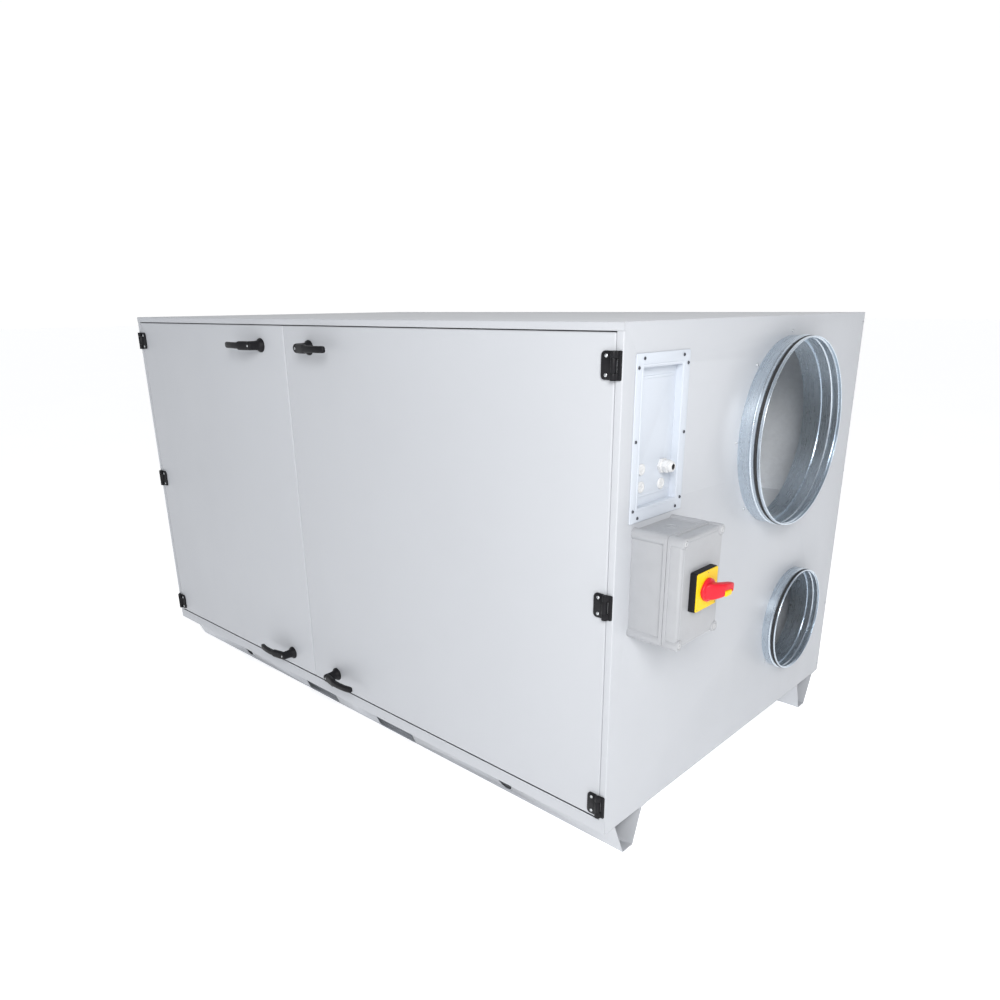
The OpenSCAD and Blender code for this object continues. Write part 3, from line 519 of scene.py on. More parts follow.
def solids(node):
    """The boxes (low, high) of a node's separate solids."""
    work = bmesh.new()
    work.from_mesh(frame["nodes"][node].data)
    bmesh.ops.remove_doubles(work, verts=work.verts, dist=1e-6)
    work.verts.ensure_lookup_table()
    seen, boxes = set(), []
    for start in work.verts:
        if start.index in seen:
            continue
        seen.add(start.index)
        wave, corners = [start], []
        while wave:
            vertex = wave.pop()
            corners.append(vertex.co.copy())
            for edge in vertex.link_edges:
                other = edge.other_vert(vertex)
                if other.index not in seen:
                    seen.add(other.index)
                    wave.append(other)
        low = Vector(min(c[i] for c in corners) for i in range(3))
        high = Vector(max(c[i] for c in corners) for i in range(3))
        boxes.append((low, high))
    work.free()
    return boxes


def right_face(low, high):
    """Width and height of a box seen from the right, and its middle on the right end."""
    middle = (low + high) / 2
    middle.x = CASING_HIGH.x
    return (high.y - low.y) / MM, (high.z - low.z) / MM, middle


def front_view(low, high):
    """Width, height and middle of a box seen from the front, in millimetres."""
    size, middle = (high - low) / MM, (low + high) / 2 / MM
    return size.x, size.z, (middle.x, middle.z)


def joint_place(name):
    return Vector(next(j["pos_m"] for j in frame["joints"] if j["name"] == name))


def mount(name):
    return next(m for m in frame["record"]["mounts"] if m["name"] == name)


# ---- casing sheets, frame and rails

L, D, H = (side / MM for side in CASING)
CORNER = CASING_LOW.copy()
DOOR_LOW, DOOR_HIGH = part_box("left_door_skin")[0] - CORNER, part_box("right_door_skin")[1] - CORNER
SPLIT = (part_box("left_door_skin")[1].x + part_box("right_door_skin")[0].x) / 2 - CORNER.x
GAP = 2.5
FRAME_W = DOOR_LOW.x / MM - GAP
SILL = DOOR_LOW.z / MM - GAP
HEAD = DOOR_HIGH.z / MM + GAP
THICK = 1.5


def upright(z):
    return seat(CORNER + Vector((0, 0, z * MM)))


def end_seat(right):
    """Seat on an end panel: u runs from the front to the back, v up, and w out of the panel."""
    if right:
        return seat(CORNER + Vector((L * MM, 0, 0)), RIGHT)
    return seat(CORNER, LEFT, flip=True)


def end_openings():
    """Round holes of an end panel as (y, z, radius) in millimetres."""
    holes = []
    for name in ("right_intake_duct", "right_discharge_duct"):
        place = Vector(mount(name)["pos_m"]) - CORNER
        holes.append((place.y / MM, place.z / MM, mount(name)["dims"]["r_mm"]))
    return holes


def casing_sheets():
    """Roof, floor and sides as folded sheets that turn over the front edges."""
    roof = Piece("roof_sheet")
    turn_down = 20
    front_line = [(D, H - turn_down), (D, H), (0, H), (0, HEAD)]
    roof.add(bent_sheet(front_line, THICK, L), seat(CORNER, RIGHT))
    roof.done("casing", paint, ["top_panel"])

    floor_sheet = Piece("floor_sheet")
    floor_line = [(0, SILL), (0, 0), (D, 0), (D, turn_down)]
    floor_sheet.add(bent_sheet(floor_line, THICK, L), seat(CORNER, RIGHT))
    floor_sheet.done("casing", paint, ["bottom_panel"])

    back = Piece("back_sheet")
    rear = seat(CORNER + Vector((L * MM, D * MM, 0)), BACK)
    field = rectangle(L - 2 * THICK, H - 2 * turn_down - 0.8, 1, 2, (L / 2, H / 2))
    back.add(slab(field, -THICK, -0.4, 0.3), rear)
    seam, clear = 0.8, turn_down + 1
    for u in (L / 3, L * 2 / 3):
        back.add(brick((u - seam, clear, -0.7), (u + seam, H - clear, -0.05), 0.3), rear)
    back.done("casing", paint, ["back_panel"])

    access = [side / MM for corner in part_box("access_frame") for side in (corner - CORNER).yz]
    # The end sheets' openings are smaller than the spigots' necks and the access frame over them
    neck, border_w, border_h = 3.2, 27, 29
    for right in (True, False):
        side = Piece("right_side_sheet" if right else "left_side_sheet")
        holes = [circle(r - neck, 96, (y, z)) for y, z, r in end_openings()]
        if right:
            y0, z0, y1, z1 = access
            middle = ((y0 + y1) / 2, (z0 + z1) / 2)
            holes.append(rectangle(y1 - y0 - 2 * border_w, z1 - z0 - 2 * border_h, 2, 3, middle))
        field = between(2.6, 1.6, D - 0.2, H - 1.6)
        side.add(pierced(field, [hole[::-1] for hole in holes], -THICK, 0, 0.05), end_seat(right))
        fold = rounded([(L, 2.6), (L, 0), (L - FRAME_W, 0), (L - FRAME_W, THICK),
                        (L - THICK, THICK), (L - THICK, 2.6)], [0, 2.5, 0.3, 0.3, 1, 0], 8)
        place = upright(SILL + 0.35)
        if not right:
            place = place @ Matrix.Translation((L, 0, 0)) @ Matrix.Diagonal((-1, 1, 1, 1))
        side.add(stack(fold[::-1], [(0, 0), (0, HEAD - SILL - 0.7)]), place)
        end_panel = "right_end_panel" if right else "left_end_panel"
        side.done("casing", paint, [end_panel])


def door_frame():
    """The reveals that the doors close into, their landing and the channel between the doors."""
    frame_piece = Piece("door_frame")
    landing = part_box("door_seals")[1].y - CORNER.y
    y0, y1 = landing / MM, landing / MM + THICK
    lip = 16
    x0, x1 = FRAME_W, L - FRAME_W
    reveals = [
        (x0 - THICK, SILL - THICK, x1 + THICK, SILL), (x0 - THICK, HEAD, x1 + THICK, HEAD + THICK),
        (x0 - THICK, SILL, x0, HEAD), (x1, SILL, x1 + THICK, HEAD),
    ]
    for low_x, low_z, high_x, high_z in reveals:
        frame_piece.add(brick((low_x, 1.0, low_z), (high_x, y1, high_z), 0.3), seat(CORNER))
    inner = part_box("inner_liner")
    mouth_x = (inner[0].x - CORNER.x) / MM + 1 + lip
    mouth_z = (inner[0].z - CORNER.z) / MM + 1 + lip
    outline = rectangle(x1 - x0, HEAD - SILL, 0, 1, (L / 2, (SILL + HEAD) / 2))
    mouth = rectangle(L - 2 * mouth_x, H - 2 * mouth_z, 6, 4, (L / 2, H / 2))
    frame_piece.add(pierced(outline, [mouth[::-1]], -y1, -y0, 0.4), seat(CORNER, FRONT))
    split, half, depth = SPLIT / MM, 30, 15
    channel = [(split + side * half, y0 + back) for side, back in ((-1, depth), (-1, 0), (1, 0), (1, depth))]
    frame_piece.add(bent_sheet(channel, THICK, H - 2 * mouth_z, 2), upright(mouth_z))
    frame_piece.done("casing", paint, ["front_frame"])


def base_rails():
    """Folded hat rails with fork slots and lifting holes cut through both webs."""
    low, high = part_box("front_base_rail")
    rail_h = (high.z - low.z) / MM
    t = 2
    # From the front flange down the front web, along the foot and up the rear web
    line = [(22, 0), (43, 0), (85, -rail_h), (129, -rail_h), (163, 0), (184, 0)]
    path = [(y, z + (-t if z == 0 else 0)) for y, z in line]
    for end, back in (("front", False), ("rear", True)):
        rail = Piece(end + "_rail")
        place = seat(CORNER, RIGHT)
        if back:
            place = seat(CORNER + Vector((0, D * MM, 0)), RIGHT) @ Matrix.Diagonal((-1, 1, 1, 1))
        rail.add(bent_sheet(path, t, L, 3), place)
        piece = rail.done("casing", paint, [end + "_base_rail"])
        cut_rail(piece, back, rail_h)


def cut_rail(piece, back, rail_h):
    cutters = Piece("rail_cutters")
    across = 206
    fork_x, fork_half, fork_low, fork_high = 202, 90, 3, 72
    lift_r, lift_inset, lift_drop = 25, 395, 58
    foot_r, foot_inset, foot_y = 7, 60, 99 if back else 107
    base = CORNER + Vector((0, (D - across) * MM if back else 0, 0))
    for side in (-1, 1):
        fork = L / 2 + side * fork_x
        low = (fork - fork_half, 0, fork_low - rail_h)
        cutters.add(brick(low, (fork + fork_half, across, fork_high - rail_h), 5), seat(base))
        hole = L / 2 + side * (L / 2 - lift_inset)
        place = seat(base + Vector((hole, across, -lift_drop)) * MM, FRONT)
        cutters.add(button([(lift_r, 0), (lift_r, across)]), place)
        foot = base + Vector((L / 2 + side * (L / 2 - foot_inset), foot_y, -rail_h - 2)) * MM
        cutters.add(button([(foot_r, 0), (foot_r, 6)], 24), seat(foot))
    tool = cutters.done("casing", paint)
    cut = piece.modifiers.new("holes", "BOOLEAN")
    cut.operation = "DIFFERENCE"
    cut.solver = "MANIFOLD"
    cut.object = tool
    bpy.context.view_layer.update()
    graph = bpy.context.evaluated_depsgraph_get()
    finished = bpy.data.meshes.new_from_object(piece.evaluated_get(graph))
    piece.modifiers.clear()
    old = piece.data
    piece.data = finished
    finished.name = old.name + "_cut"
    bpy.data.meshes.remove(old)
    bpy.data.objects.remove(tool)


# ---- doors, hinges and handles


def doors():
    for side in SIDES:
        low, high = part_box(side + "_door_skin")
        pan = Piece(side + "_door_sheet")
        width, height, centre = front_view(low, high)
        outline = rectangle(width, height, 4.6, 5, centre)
        face = seat(Vector((0, low.y, 0)), FRONT)
        rim = [(0, (low.y - high.y) / MM), (0, -3.8), (0.3, -2.3), (1.1, -1.1), (2.3, -0.3), (3.8, 0)]
        pan.add(stack(outline, rim), face)
        pan.done(side + "_door", paint, [side + "_door_skin", side + "_door_core"])

        inner_low, inner_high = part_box(side + "_door_liner")
        lining = Piece(side + "_door_lining")
        width, height, centre = front_view(inner_low, inner_high)
        sheet = rectangle(width - 1, height - 1, 2, 3, centre)
        back_face = seat(Vector((0, inner_low.y, 0)), FRONT)
        lining.add(stack(sheet, [(0, 0.02), (0, -0.6), (0.4, -1)]), back_face)
        rivets, end_gap, edge_gap = 7, 40, 28
        for k in range(rivets):
            for edge in (-1, 1):
                u = centre[0] - width / 2 + end_gap + k * (width - 2 * end_gap) / (rivets - 1)
                rivet = Vector((u * MM, inner_high.y, (centre[1] + edge * (height / 2 - edge_gap)) * MM))
                lining.add(button([(4, 0), (3.6, 0.8), (2, 1.5)], 20), seat(rivet, BACK), screw_steel)
        lining.done(side + "_door", zinc_sheet, [side + "_door_liner"])


def knuckle_section(reach):
    """Outline round the hinge pin, with the leaf's root on the positive side."""
    centre, r = Vector((0, 7)), 6.7
    angles = [math.radians(20 + 250 * k / 20) for k in range(21)]
    ring = [centre + Vector((math.cos(a), math.sin(a))) * r for a in angles]
    return [Vector((reach, 0.2)), Vector((reach, 4.4)), Vector((8.5, 5.2))] + ring


def hinges():
    screws = {side: solids(side + "_hinge_screws") for side in SIDES}
    frame_leaves = Piece("frame_leaves")
    root, leaf_w, leaf_half, wing_w, wing_half = 7.6, 33, 28.5, 16, 29
    for side in SIDES:
        right = side == "right"
        axis = joint_place(side + "_door_hinge")
        heights = sorted({round((low.z + high.z) / 2, 4) for low, high in screws[side]})
        centres = [(heights[i] + heights[i + 1]) / 2 for i in range(0, len(heights), 2)]
        door_leaves = Piece(side + "_door_leaves")
        for z in centres:
            face = seat(Vector((axis.x, CORNER.y, z)), FRONT, flip=not right)
            leaf = between(-leaf_w, -leaf_half, -root, leaf_half, [9, 0.8, 0.8, 9], 8)
            door_leaves.add(stack(leaf, [(0, 0.1), (0, 3.4), (0.4, 4.4), (1.4, 5)]), face)
            middle_part = [Vector((-p.x, p.y)) for p in knuckle_section(9)][::-1]
            stand = face @ Matrix.Rotation(math.pi / 2, 4, "X") @ Matrix.Diagonal((1, 1, -1, 1))
            door_leaves.add(slab(middle_part, -14, 14, 0.5), stand)
            wing = between(root, -wing_half, wing_w, wing_half, [0.5, 2.5, 2.5, 0.5], 4)
            frame_leaves.add(stack(wing, [(0, 0.1), (0, 3.6), (0.4, 4.5), (1.2, 5)]), face)
            for low, high in ((-wing_half, -14.5), (14.5, wing_half)):
                frame_leaves.add(slab(knuckle_section(10), low, high, 0.7), stand)
            for v in (-18.5, 18.5):
                rivet = button([(2.6, 4.6), (2.6, 5.3), (1.6, 5.6)], 20)
                frame_leaves.add(rivet, face @ Matrix.Translation((12, v, 0)))
        door_leaves.done(side + "_door", black, [side + "_hinge_door_leaves"])
        heads = Piece(side + "_leaf_screws")
        for low, high in screws[side]:
            place = on_front((low + high) / 2)
            heads.add(screw_head(3.9, 2.0), seat(place, FRONT) @ Matrix.Translation((0, 0, 4.7)))
        heads.done(side + "_door", screw_steel, [side + "_hinge_screws"])
    frame_leaves.done("casing", black, ["hinge_frame_leaves"])


def screw_head(radius, height):
    """A domed head with a round drive recess."""
    return turned([(0, 0), (radius, 0), (radius, height * 0.25), (radius * 0.86, height * 0.66),
                   (radius * 0.6, height * 0.92), (radius * 0.42, height), (radius * 0.36, height * 0.45),
                   (0, height * 0.4)], 28)


def collars():
    for side in SIDES:
        rings = Piece(side + "_collars")
        for level in LEVELS:
            place = joint_place(f"{side}_{level}_handle_turn")
            ring = [(7, 0), (21, 0), (21, 1.6), (20.2, 2.7), (19, 3), (7, 3)]
            rings.add(turned(ring, 64), seat(on_front(place), FRONT))
        rings.done(side + "_door", black, [side + "_handle_collars"])


def lever_shapes():
    """Flared hub and the arm that leaves the hub's front and bows away from the door."""
    hub = button([(20, 3.2), (20.2, 4.2), (19.4, 5.4), (17.2, 7.2), (15.4, 10), (14.2, 14), (13.6, 20),
                  (13.4, 38), (13.2, 42), (12.2, 45), (10.4, 46.6), (8, 47)], 56)
    # Along the arm: reach from the axis, height off the door, half height, half thickness
    stations = [(-11.5, 38, 5, 5.6), (-10, 38.2, 9.5, 7.6), (-4, 38.6, 12.5, 8.2), (8, 40, 13.2, 8.2),
                (22, 43, 13.4, 8.1), (38, 46.2, 13.2, 8), (46, 47.5, 12.9, 7.9), (50.5, 48, 10.6, 7.7),
                (55, 48.3, 9.8, 7.6), (70, 49, 9.4, 7.6), (85, 48.6, 9.2, 7.5), (100, 47.2, 9.2, 7.4),
                (113, 45.2, 9.4, 7.4), (123, 42.8, 9.3, 7.2), (128.5, 41.4, 8.6, 6.4), (131, 40.7, 6.8, 4.6),
                (131.8, 40.4, 4.4, 3)]
    rings = []
    for i, (reach, height, half_v, half_t) in enumerate(stations):
        before, after = stations[max(i - 1, 0)], stations[min(i + 1, len(stations) - 1)]
        run = Vector((after[0] - before[0], after[1] - before[1])).normalized()
        across = Vector((-run.y, run.x))
        ring = squarish(half_v, half_t, (0, 0), 3.2)
        rings.append([(reach + across.x * t, v, height + across.y * t) for v, t in ring])
    return hub, loft(rings)


def levers():
    hub, arm = lever_shapes()
    for side in SIDES:
        for level in LEVELS:
            key = f"{side}_{level}"
            axis = joint_place(key + "_handle_turn")
            face = seat(on_front(axis), FRONT, flip=side == "left")
            lever = Piece(key + "_handle")
            lever.add(hub, face)
            lever.add(arm, face)
            lever.add(screw_head(3.4, 1.4), face @ Matrix.Translation((0, 0, 46.7)), screw_steel)
            lever.done(key + "_handle", black, [key + "_lever"], 40)
            low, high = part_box(key + "_cam")
            depth = (high.y - CORNER.y) / MM
            reach = max(abs(low.x - axis.x), abs(high.x - axis.x)) / MM
            cam = Piece(key + "_latch_cam")
            tongue = between(-reach, -9, 9.5, 9, [8.5, 9, 9, 8.5], 10)
            cam.add(slab(tongue, -depth, -depth + 3, 0.4), face)
            cam.add(button([(6, -depth - 0.5), (6, 4)], 32), face)
            cam.add(stack(circle(9, 6), [(0.8, -depth - 5), (0, -depth - 4.4), (0, -depth)]), face)
            cam.done(key + "_handle", screw_steel, [key + "_cam"])


# ---- spigots and their seals


# Heights of a spigot's raised bead and seal groove, as shares of its length
BEAD_AT, GROOVE_AT = 0.55, 0.79


def spigot_profile(r, length):
    """Closed section of a spigot: (radius, height) from the wall's inside, out over the collar, and back."""
    t = 1.2
    bead, groove, rim = BEAD_AT * length, GROOVE_AT * length, length
    outside = [(r - 4, -50), (r - 4, 0), (r, 0.1), (r, bead - 3.4), (r + 1.1, bead - 2.6),
               (r + 2.3, bead - 0.9), (r + 2.3, bead + 0.9), (r + 1.1, bead + 2.6), (r, bead + 3.4),
               (r, groove - 5), (r - 1.2, groove - 4.2), (r - 3.6, groove - 3), (r - 3.6, groove + 3),
               (r - 1.2, groove + 4.2), (r, groove + 5), (r, rim - 1.4), (r - 0.5, rim - 0.4),
               (r - 1.4, rim), (r - 2.6, rim - 0.1), (r - 3.2, rim - 0.8), (r - 2.6, rim - 1.6)]
    inside = [(r - t, groove + 5.5), (r - 3.6 - t, groove + 3.4), (r - 3.6 - t, groove - 3.4),
              (r - t, groove - 5.5), (r - t, bead + 3.6), (r + 2.3 - t, bead + 0.7),
              (r + 2.3 - t, bead - 0.7), (r - t, bead - 3.6), (r - t, t), (r - 4 - t, t), (r - 4 - t, -50)]
    return outside + inside


def spigots():
    seals = Piece("duct_seals")
    for end in ("right", "left"):
        for kind in ("intake", "discharge"):
            name = f"{end}_{kind}_duct"
            node = f"{end}_{kind}_spigot"
            place = Vector(mount(name)["pos_m"])
            place.x = CASING_HIGH.x if end == "right" else CASING_LOW.x
            low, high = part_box(node)
            length = (high.x - place.x if end == "right" else place.x - low.x) / MM
            r = mount(name)["dims"]["r_mm"]
            face = seat(place, RIGHT if end == "right" else LEFT, flip=end == "left")
            ring = Piece(f"{end}_{kind}_collar")
            ring.add(turned(spigot_profile(r, length), 144), face)
            seam, seam_w = -math.pi / 5, 9
            # The lap of the seam, inside and outside the collar
            for near, far, low, high in ((-2.1, -1.1, 1.4, 0.5 * length), (-0.1, 0.7, 0.2, 0.47 * length)):
                lap = [(r + near, low), (r + far, low), (r + far, high), (r + near, high)]
                ring.add(turned(lap, 3, seam, seam_w / r), face)
            ring.done("casing", zinc_ring, [node], 28)
            g = GROOVE_AT * length
            lip = [(r - 3.5, g - 2.8), (r - 3.5, g + 2.8), (r - 1.4, g + 2.8), (r - 0.6, g + 1.9),
                   (r + 0.75, g - 0.4), (r + 0.6, g - 1.4), (r - 0.9, g - 1.0), (r - 1.6, g - 2.8)]
            seals.add(turned(lip, 144), face)
    seals.done("casing", seal_rubber, ["spigot_seals"], 50)


def sheet_screws():
    """Heads of the small screws, each on the face where its solid ends."""
    heads = Piece("sheet_screw_heads")
    dark = Piece("access_screw_heads")
    access_low, access_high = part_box("access_frame")
    for low, high in solids("casing_screws"):
        right = (low.x + high.x) / 2 > 0
        centre = (low + high) / 2
        across = access_low.y < centre.y < access_high.y
        on_access = right and across and access_low.z < centre.z < access_high.z
        head_h = 2.4
        centre.x = high.x - head_h * MM if right else low.x + head_h * MM
        face = seat(centre, RIGHT if right else LEFT, flip=not right)
        (dark if on_access else heads).add(screw_head(3.6, head_h), face)
    heads.done("casing", screw_steel, ["casing_screws"])
    dark.done("casing", dark_screw, [])


# ---- access plate with its cable entries


def access_panel():
    low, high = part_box("access_frame")
    plate_low, plate_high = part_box("access_plate")
    width, height, centre = right_face(low, high)
    face = seat(centre, RIGHT)
    hole_w = (plate_high.y - plate_low.y) / MM - 3
    hole_h = (plate_high.z - plate_low.z) / MM - 3
    hole_v = ((plate_low.z + plate_high.z) / 2 - centre.z) / MM
    depth = -out(plate_high)

    border = Piece("access_border")
    mouth = rectangle(hole_w, hole_h, 2.5, 4, (0, hole_v))
    border.add(pierced(rectangle(width, height, 2.5, 4), [mouth[::-1]], 0, 2.6, 0.9), face)
    inner_wall = rectangle(hole_w + 1.6, hole_h + 1.6, 3, 4, (0, hole_v))
    border.add(ring_wall(inner_wall, 1.6, -depth - 1, 2.2), face)
    # Raised lip that runs round the mouth
    outer_lip = rectangle(hole_w + 12, hole_h + 12, 5, 4, (0, hole_v))
    border.add(ring_wall(outer_lip, 4.6, 2.0, 3.4), face)
    border.done("casing", access_paint, ["access_frame"])

    entries = solids("cable_entries")
    sheet = Piece("entry_plate")
    holes = []
    for entry_low, entry_high in entries:
        u = ((entry_low.y + entry_high.y) / 2 - centre.y) / MM
        v = ((entry_low.z + entry_high.z) / 2 - centre.z) / MM
        holes.append((u, v, (entry_high.y - entry_low.y) / MM))
    outline = rectangle(hole_w + 2, hole_h + 2, 2, 3, (0, hole_v))
    bores = [circle(8.8, 40, hole[:2])[::-1] for hole in holes]
    sheet.add(pierced(outline, bores, -depth - 1.5, -depth, 0.2), face)
    # A rib pressed along the top of the plate and one along its bottom
    rib_half, rib_h = hole_w / 2 - 12, 6
    for v in (hole_v + hole_h / 2 - 26, hole_v - hole_h / 2 + 18):
        sheet.add(brick((-rib_half, v, -depth - 0.5), (rib_half, v + rib_h, -depth + 1.2), 0.8), face)
    sheet.done("casing", access_paint, ["access_plate"])

    fittings = Piece("gland_and_plugs")
    for u, v, wide in holes:
        spot = face @ Matrix.Translation((u, v, -depth))
        if wide > 30:
            fittings.add(stack(circle(17.6, 6), [(0.2, 0), (0, 0.5), (0, 7), (1.6, 8)]), spot)
            fittings.add(turned([(6.6, 7.5), (13, 7.5), (13, 12.2), (6.6, 12.2)], 40), spot)
            fittings.add(stack(circle(15.6, 6), [(1, 12), (0, 12.8), (0, 21), (1.4, 22)]), spot)
            dome = [(6.6, 10), (12.4, 21.5), (12.4, 26), (11.6, 29.3), (10, 31.2), (8.4, 32), (6.8, 31.6),
                    (6.6, 30.5)]
            fittings.add(turned(dome, 48), spot)
            sleeve = [(5.2, 24), (6.7, 24), (6.7, 31), (6.1, 31.3), (5.2, 30)]
            fittings.add(turned(sleeve, 40), spot, seal_rubber)
            for k in range(12):
                turn = Matrix.Rotation(k * FULL_TURN / 12, 4, "Z")
                fittings.add(brick((11.6, -1.1, 22), (12.9, 1.1, 27.5), 0.4), spot @ turn)
        else:
            plug = [(12.8, 0), (12.8, 2.4), (12.2, 3.4), (10.8, 4), (8.2, 4), (7.6, 3.2), (7, 3)]
            fittings.add(button(plug, 40), spot)
            fittings.add(brick((-5.5, -1, 2.6), (5.5, 1, 3.9), 0.4), spot)
    fittings.done("casing", white_plastic, ["cable_entries"])


def ring_wall(outline, thickness, low, high):
    """An upright wall that follows a closed outline, its outside on the outline."""
    inner = shrunk(outline, thickness)
    rings = []
    for ring, height in ((outline, low), (outline, high - 0.4), (shrunk(outline, 0.4), high),
                         (shrunk(outline, thickness - 0.4), high), (inner, high - 0.4), (inner, low)):
        rings.append([(p[0], p[1], height) for p in ring])
    count = len(outline)
    points = [p for ring in rings for p in ring]
    faces = []
    for level in range(len(rings)):
        faces += band(level * count, (level + 1) % len(rings) * count, count)
    return points, faces


# ---- isolating switch


def posted_outline(width, height, inset, post):
    """A rectangle set in from four round corner posts that bulge past it."""
    a, b = width / 2, height / 2
    turn = math.acos((post - inset) / post)
    points = []
    for k, (su, sv) in enumerate(((1, 1), (-1, 1), (-1, -1), (1, -1))):
        centre = Vector((su * (a - post), sv * (b - post)))
        first = k * math.pi / 2 - turn
        last = k * math.pi / 2 + math.pi / 2 + turn
        for n in range(15):
            angle = first + (last - first) * n / 14
            points.append(centre + Vector((math.cos(angle), math.sin(angle))) * post)
    return points


def switch_box():
    base_low, base_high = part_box("switch_box_base")
    width, height, centre = right_face(base_low, base_high)
    face = seat(centre, RIGHT)
    base_d = out(base_high)
    total_d = out(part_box("switch_box_lid")[1])
    post = 13
    posts = [(su * (width / 2 - post), sv * (height / 2 - post)) for su in (-1, 1) for sv in (-1, 1)]

    base = Piece("enclosure_base")
    walls = posted_outline(width, height, 5, post)
    base.add(stack(walls, [(0.6, 0), (0, 0.6), (0, base_d - 7)]), face)
    rim = rectangle(width - 1.6, height - 1.6, 11.5, 8)
    levels = [(0.9, base_d - 9.5), (0, base_d - 8.6), (0, base_d - 1.4), (0.8, base_d - 0.5)]
    base.add(stack(rim, levels), face)
    for side in (-1, 1):
        # Raised border of the recessed top and bottom faces, and a moulded knock-out on each
        for u in (-1, 1):
            across, up = u * (width / 2 - 30), side * (height / 2 - 5)
            base.add(brick((across - 1.2, up - 1, 6), (across + 1.2, up + 1, base_d - 10), 0.6), face)
        knock = face @ Matrix.Translation((0, side * (height / 2 - 5), base_d / 2))
        knock = knock @ Matrix.Rotation(-side * math.pi / 2, 4, "X")
        bead = [(14.4, -0.5), (15.6, -0.5), (15.6, 0.5), (15.2, 0.8), (14.8, 0.8), (14.4, 0.5)]
        base.add(turned(bead, 48), knock)
        base.add(button([(3, -0.5), (3, 0.4), (2.4, 0.9)], 20), knock)
    base.done("casing", grey_plastic, ["switch_box_base"])

    lid = Piece("enclosure_lid")
    lid.add(stack(rim, [(0.8, base_d + 0.4), (0, base_d + 1.3), (0, base_d + 7.2), (1, base_d + 8.2)]), face)
    skirt = posted_outline(width, height, 3, post)
    shoulder = total_d - 3
    levels = [(0.4, base_d + 7), (0.4, shoulder - 6.5), (1.0, shoulder - 4.2), (2.4, shoulder - 1.8),
              (4.4, shoulder - 0.5), (6.6, shoulder)]
    lid.add(stack(skirt, levels), face)
    panel = rectangle(width - 24, height - 24, 5, 6)
    raised = [(0, -2), (0, 0.2), (0.8, 0.9), (2.0, 1.1)]
    lid.add(stack(panel, [(inset, shoulder + step) for inset, step in raised]), face)
    tower = [(12.7, base_d + 7), (12.7, total_d - 2.4), (12.1, total_d - 0.9), (10.8, total_d),
             (7.4, total_d), (6.9, total_d - 1), (6.9, total_d - 5)]
    for u, v in posts:
        lid.add(button(tower, 48), face @ Matrix.Translation((u, v, 0)))
    lid.done("casing", grey_plastic, ["switch_box_lid"])

    caps = Piece("enclosure_screws")
    cap = button([(6.6, 0), (6.6, 4.2), (6, 5), (4.6, 5.4), (2.6, 5.4), (2.2, 4.2)], 32)
    cross_bar = brick((-4.4, -0.7, 4.4), (4.4, 0.7, 5.6), 0.2)
    for u, v in posts:
        spot = face @ Matrix.Translation((u, v, total_d - 5))
        caps.add(cap, spot)
        caps.add(cross_bar, spot @ Matrix.Rotation(0.7, 4, "Z"), grey_plastic)
    caps.done("casing", pale_plastic, ["switch_box_screws"])


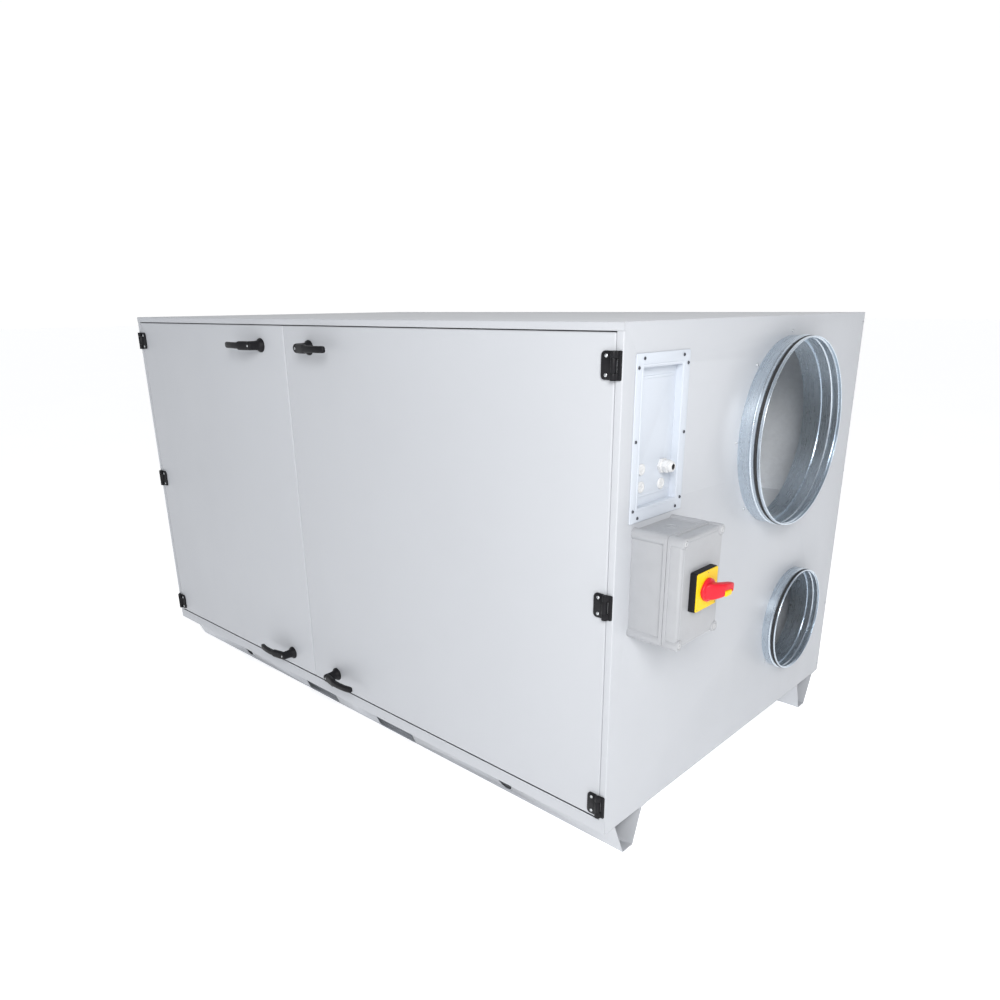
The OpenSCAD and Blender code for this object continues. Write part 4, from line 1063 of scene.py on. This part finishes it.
def switch():
    axis = joint_place("switch_turn")
    plate_low, plate_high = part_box("switch_base_plate")
    yellow_low, yellow_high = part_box("switch_yellow_plate")
    front = out(yellow_high)
    lid_front = out(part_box("switch_box_lid")[1])
    plate_front = out(yellow_low)
    wide = (plate_high.y - plate_low.y) / MM
    face = seat(Vector((CASING_HIGH.x, axis.y, axis.z)), RIGHT)

    plate = Piece("switch_plate_black")
    outline = rectangle(wide, wide, 5, 6)
    plate.add(stack(outline, [(0, lid_front - 3), (0, plate_front - 3.4), (0.5, plate_front - 1.5),
                              (2.0, plate_front)]), face)
    plate.done("casing", black, ["switch_base_plate"])

    shown = Piece("switch_plate_yellow")
    square = rectangle(wide - 3.4, wide - 3.4, 4, 6)
    shown.add(stack(square, [(0, plate_front - 0.2), (0, front - 0.7), (0.6, front)]), face)
    ring = [(31.5, front - 0.3), (34, front - 0.3), (33.6, front + 0.25), (31.9, front + 0.25)]
    shown.add(turned(ring, 64), face)
    for u, v in ((0, 38.5), (38.5, 0), (-38, -38), (38, -38)):
        spot = face @ Matrix.Translation((u, v, front - 0.2))
        shown.add(button([(1.5, 0), (1.5, 0.4), (1.1, 0.5)], 16), spot, dark_screw)
    shown.done("casing", yellow, ["switch_yellow_plate"])

    grip = Piece("switch_handle_red")
    grip_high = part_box("switch_grip")[1]
    reach = (grip_high.y - axis.y) / MM
    top = out(grip_high)
    back = front + 0.35
    oval = [Vector(p) for p in squarish(29.5, 27, (0, 0), 1.7, 56)]
    grip.add(stack(oval, [(0.4, back), (0, back + 0.6), (0, back + 4.6), (0.8, back + 6.2), (2.8, back + 7.6),
                          (6, back + 8.6)]), face)
    # Along the bar: reach, low and high height off the plate, lower and upper edge
    stations = [(-22, 5, 8.5, -10, 10), (-20, 5, 12, -14, 14), (-14, 5, 18, -18, 18),
                (-5, 5, 24.5, -18.5, 18), (6, 5.5, 29.5, -18, 17), (14, 8.5, 32.6, -16.8, 16),
                (18.8, 10.5, 33.8, -16, 15.2), (19.7, 11, 34, -2.8, 15), (27, 14, 35.1, -2.8, 14),
                (38, 18.5, 36.3, -2.8, 12.6), (46.2, 20.7, 36.9, -2.8, 11.6), (46.8, 20.9, 36.9, -10.5, 11.5),
                (51.5, 22.4, 36.6, -9.5, 10.4), (53.3, 24, 35.4, -7.6, 8.6), (54, 26, 33.4, -5, 6)]
    rings = []
    for u, low, high, under, over in stations:
        ring = squarish((over - under) / 2, (high - low) / 2, ((over + under) / 2, (high + low) / 2), 4.6, 36)
        rings.append([(u * reach / 54, v, front + w * (top - front) / 37) for v, w in ring])
    grip.add(loft(rings), face)
    grip.add(button([(5, 45), (5, back + 1)], 32), face)
    grip.done("switch_handle", red, ["switch_grip"], 38)

    tab_low, tab_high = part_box("padlock_tab")
    tab = Piece("padlock_slider")
    u0, u1 = (tab_low.y - axis.y) / MM, (tab_high.y - axis.y) / MM
    v0, v1 = (tab_low.z - axis.z) / MM, (tab_high.z - axis.z) / MM
    w0, w1 = out(tab_low), out(tab_high)
    tab.add(brick((u0 - 4, v0 - 1.5, w0), (u1 + 1, v1, w1), 2.6), face)
    for k in range(4):
        u = u0 + 4 + k * (u1 - u0 - 8) / 3
        tab.add(brick((u - 0.8, v0 - 2, w0 + 3), (u + 0.8, v0, w1 - 4), 0.4), face)
    tab.done("padlock_slide", yellow, ["padlock_tab"])


# ---- floor, light and camera


def stage_floor():
    mesh = bpy.data.meshes.new("floor")
    half = 60
    corners = [(-half, -half, 0), (half, -half, 0), (half, half, 0), (-half, half, 0)]
    mesh.from_pydata(corners, [], [(0, 1, 2, 3)])
    floor = new_object("floor", mesh)
    m = Nodes("pale_floor")
    m.colour(m.blend(m.span(m.noise(0.8), 0, 1), (0.93, 0.93, 0.93), (0.95, 0.95, 0.95)))
    m.value("Roughness", 0.9)
    m.value("Specular IOR Level", 0.1)
    m.value("Emission Color", (1, 1, 1, 1))
    m.value("Emission Strength", 0.5)
    mesh.materials.append(m.material)


def hang(name, light, place, target):
    """Hang a light at a place, turned towards its target."""
    holder = new_object(name, light)
    holder.location = place
    holder.rotation_euler = (Vector(target) - Vector(place)).to_track_quat("-Z", "Y").to_euler()
    return holder


def area_light(name, place, target, size, power, colour=(1, 1, 1)):
    light = bpy.data.lights.new(name, "AREA")
    light.shape = "RECTANGLE"
    light.size, light.size_y = size
    light.energy = power
    light.color = colour
    hang(name, light, place, target)


def studio_world():
    """A white backdrop beyond the unit; the studio darkens overhead and behind the onlooker."""
    world = bpy.data.worlds.new("studio")
    world.use_nodes = True
    tree = world.node_tree
    background = tree.nodes["Background"]
    place = tree.nodes.new("ShaderNodeTexCoord")
    toward = tree.nodes.new("ShaderNodeVectorMath")
    toward.operation = "DOT_PRODUCT"
    toward.inputs[1].default_value = (-0.686, 0.727, 0)
    ramp = tree.nodes.new("ShaderNodeValToRGB")
    tree.links.new(place.outputs["Generated"], toward.inputs[0])
    tree.links.new(toward.outputs["Value"], ramp.inputs["Fac"])
    tree.links.new(ramp.outputs["Color"], background.inputs["Color"])
    stops = ramp.color_ramp.elements
    stops[0].position, stops[0].color = 0.0, (0.30, 0.31, 0.33, 1)
    stops[1].position, stops[1].color = 0.75, (1.0, 1.0, 1.0, 1)
    background.inputs["Strength"].default_value = 1.02
    bpy.context.scene.world = world


def studio_light():
    studio_world()
    corner = (1.0, -0.6, 1.1)
    area_light("key", (2.9, -2.7, 2.5), corner, (1.4, 1.4), 112, (1, 0.99, 0.975))
    area_light("rim", (2.3, 2.4, 0.7), (1.09, 0.1, 0.8), (0.7, 1.8), 3)
    # Two narrow spots stand in for light thrown back on the sheet beside each right spigot
    for kind, power, spread in (("intake", 31.2, 7), ("discharge", 13, 4)):
        duct = mount(f"right_{kind}_duct")
        mouth, r = Vector(duct["pos_m"]), duct["dims"]["r_mm"] * MM
        target = Vector((CASING_HIGH.x, mouth.y - r - 0.035, mouth.z + 0.1 * r))
        glint = bpy.data.lights.new("glint", "SPOT")
        glint.energy = power
        glint.spot_size = math.radians(spread)
        glint.spot_blend = 1
        glint.shadow_soft_size = 0.02
        hang("glint_" + kind, glint, target + Vector((1.5, -0.9, 0.35)), target).scale = (0.5, 1, 1)


def camera():
    """Seen from the front right, a little above the roof, about 43 degrees round."""
    height = CASING.z
    right = Vector((0.72944, 0.68397, -0.00995))
    down = Vector((0.22312, -0.25165, -0.94175))
    forward = Vector((-0.64663, 0.68473, -0.33617))
    lens = bpy.data.cameras.new("camera")
    lens.sensor_width = 36
    lens.lens = 28.752
    lens.shift_y = 0.0877
    lens.clip_end = 200
    holder = new_object("camera", lens)
    turn = Matrix((right, -down, -forward)).transposed()
    eye = at(2.61848 * height, -1.14060 * height, 1.03145 * height)
    holder.matrix_world = Matrix.Translation(eye) @ turn.to_4x4()
    bpy.context.scene.camera = holder


casing_sheets()
door_frame()
base_rails()
doors()
hinges()
collars()
levers()
spigots()
sheet_screws()
access_panel()
switch_box()
switch()
bpy.context.scene.view_settings.view_transform = "Standard"
stage_floor()
studio_light()
camera()
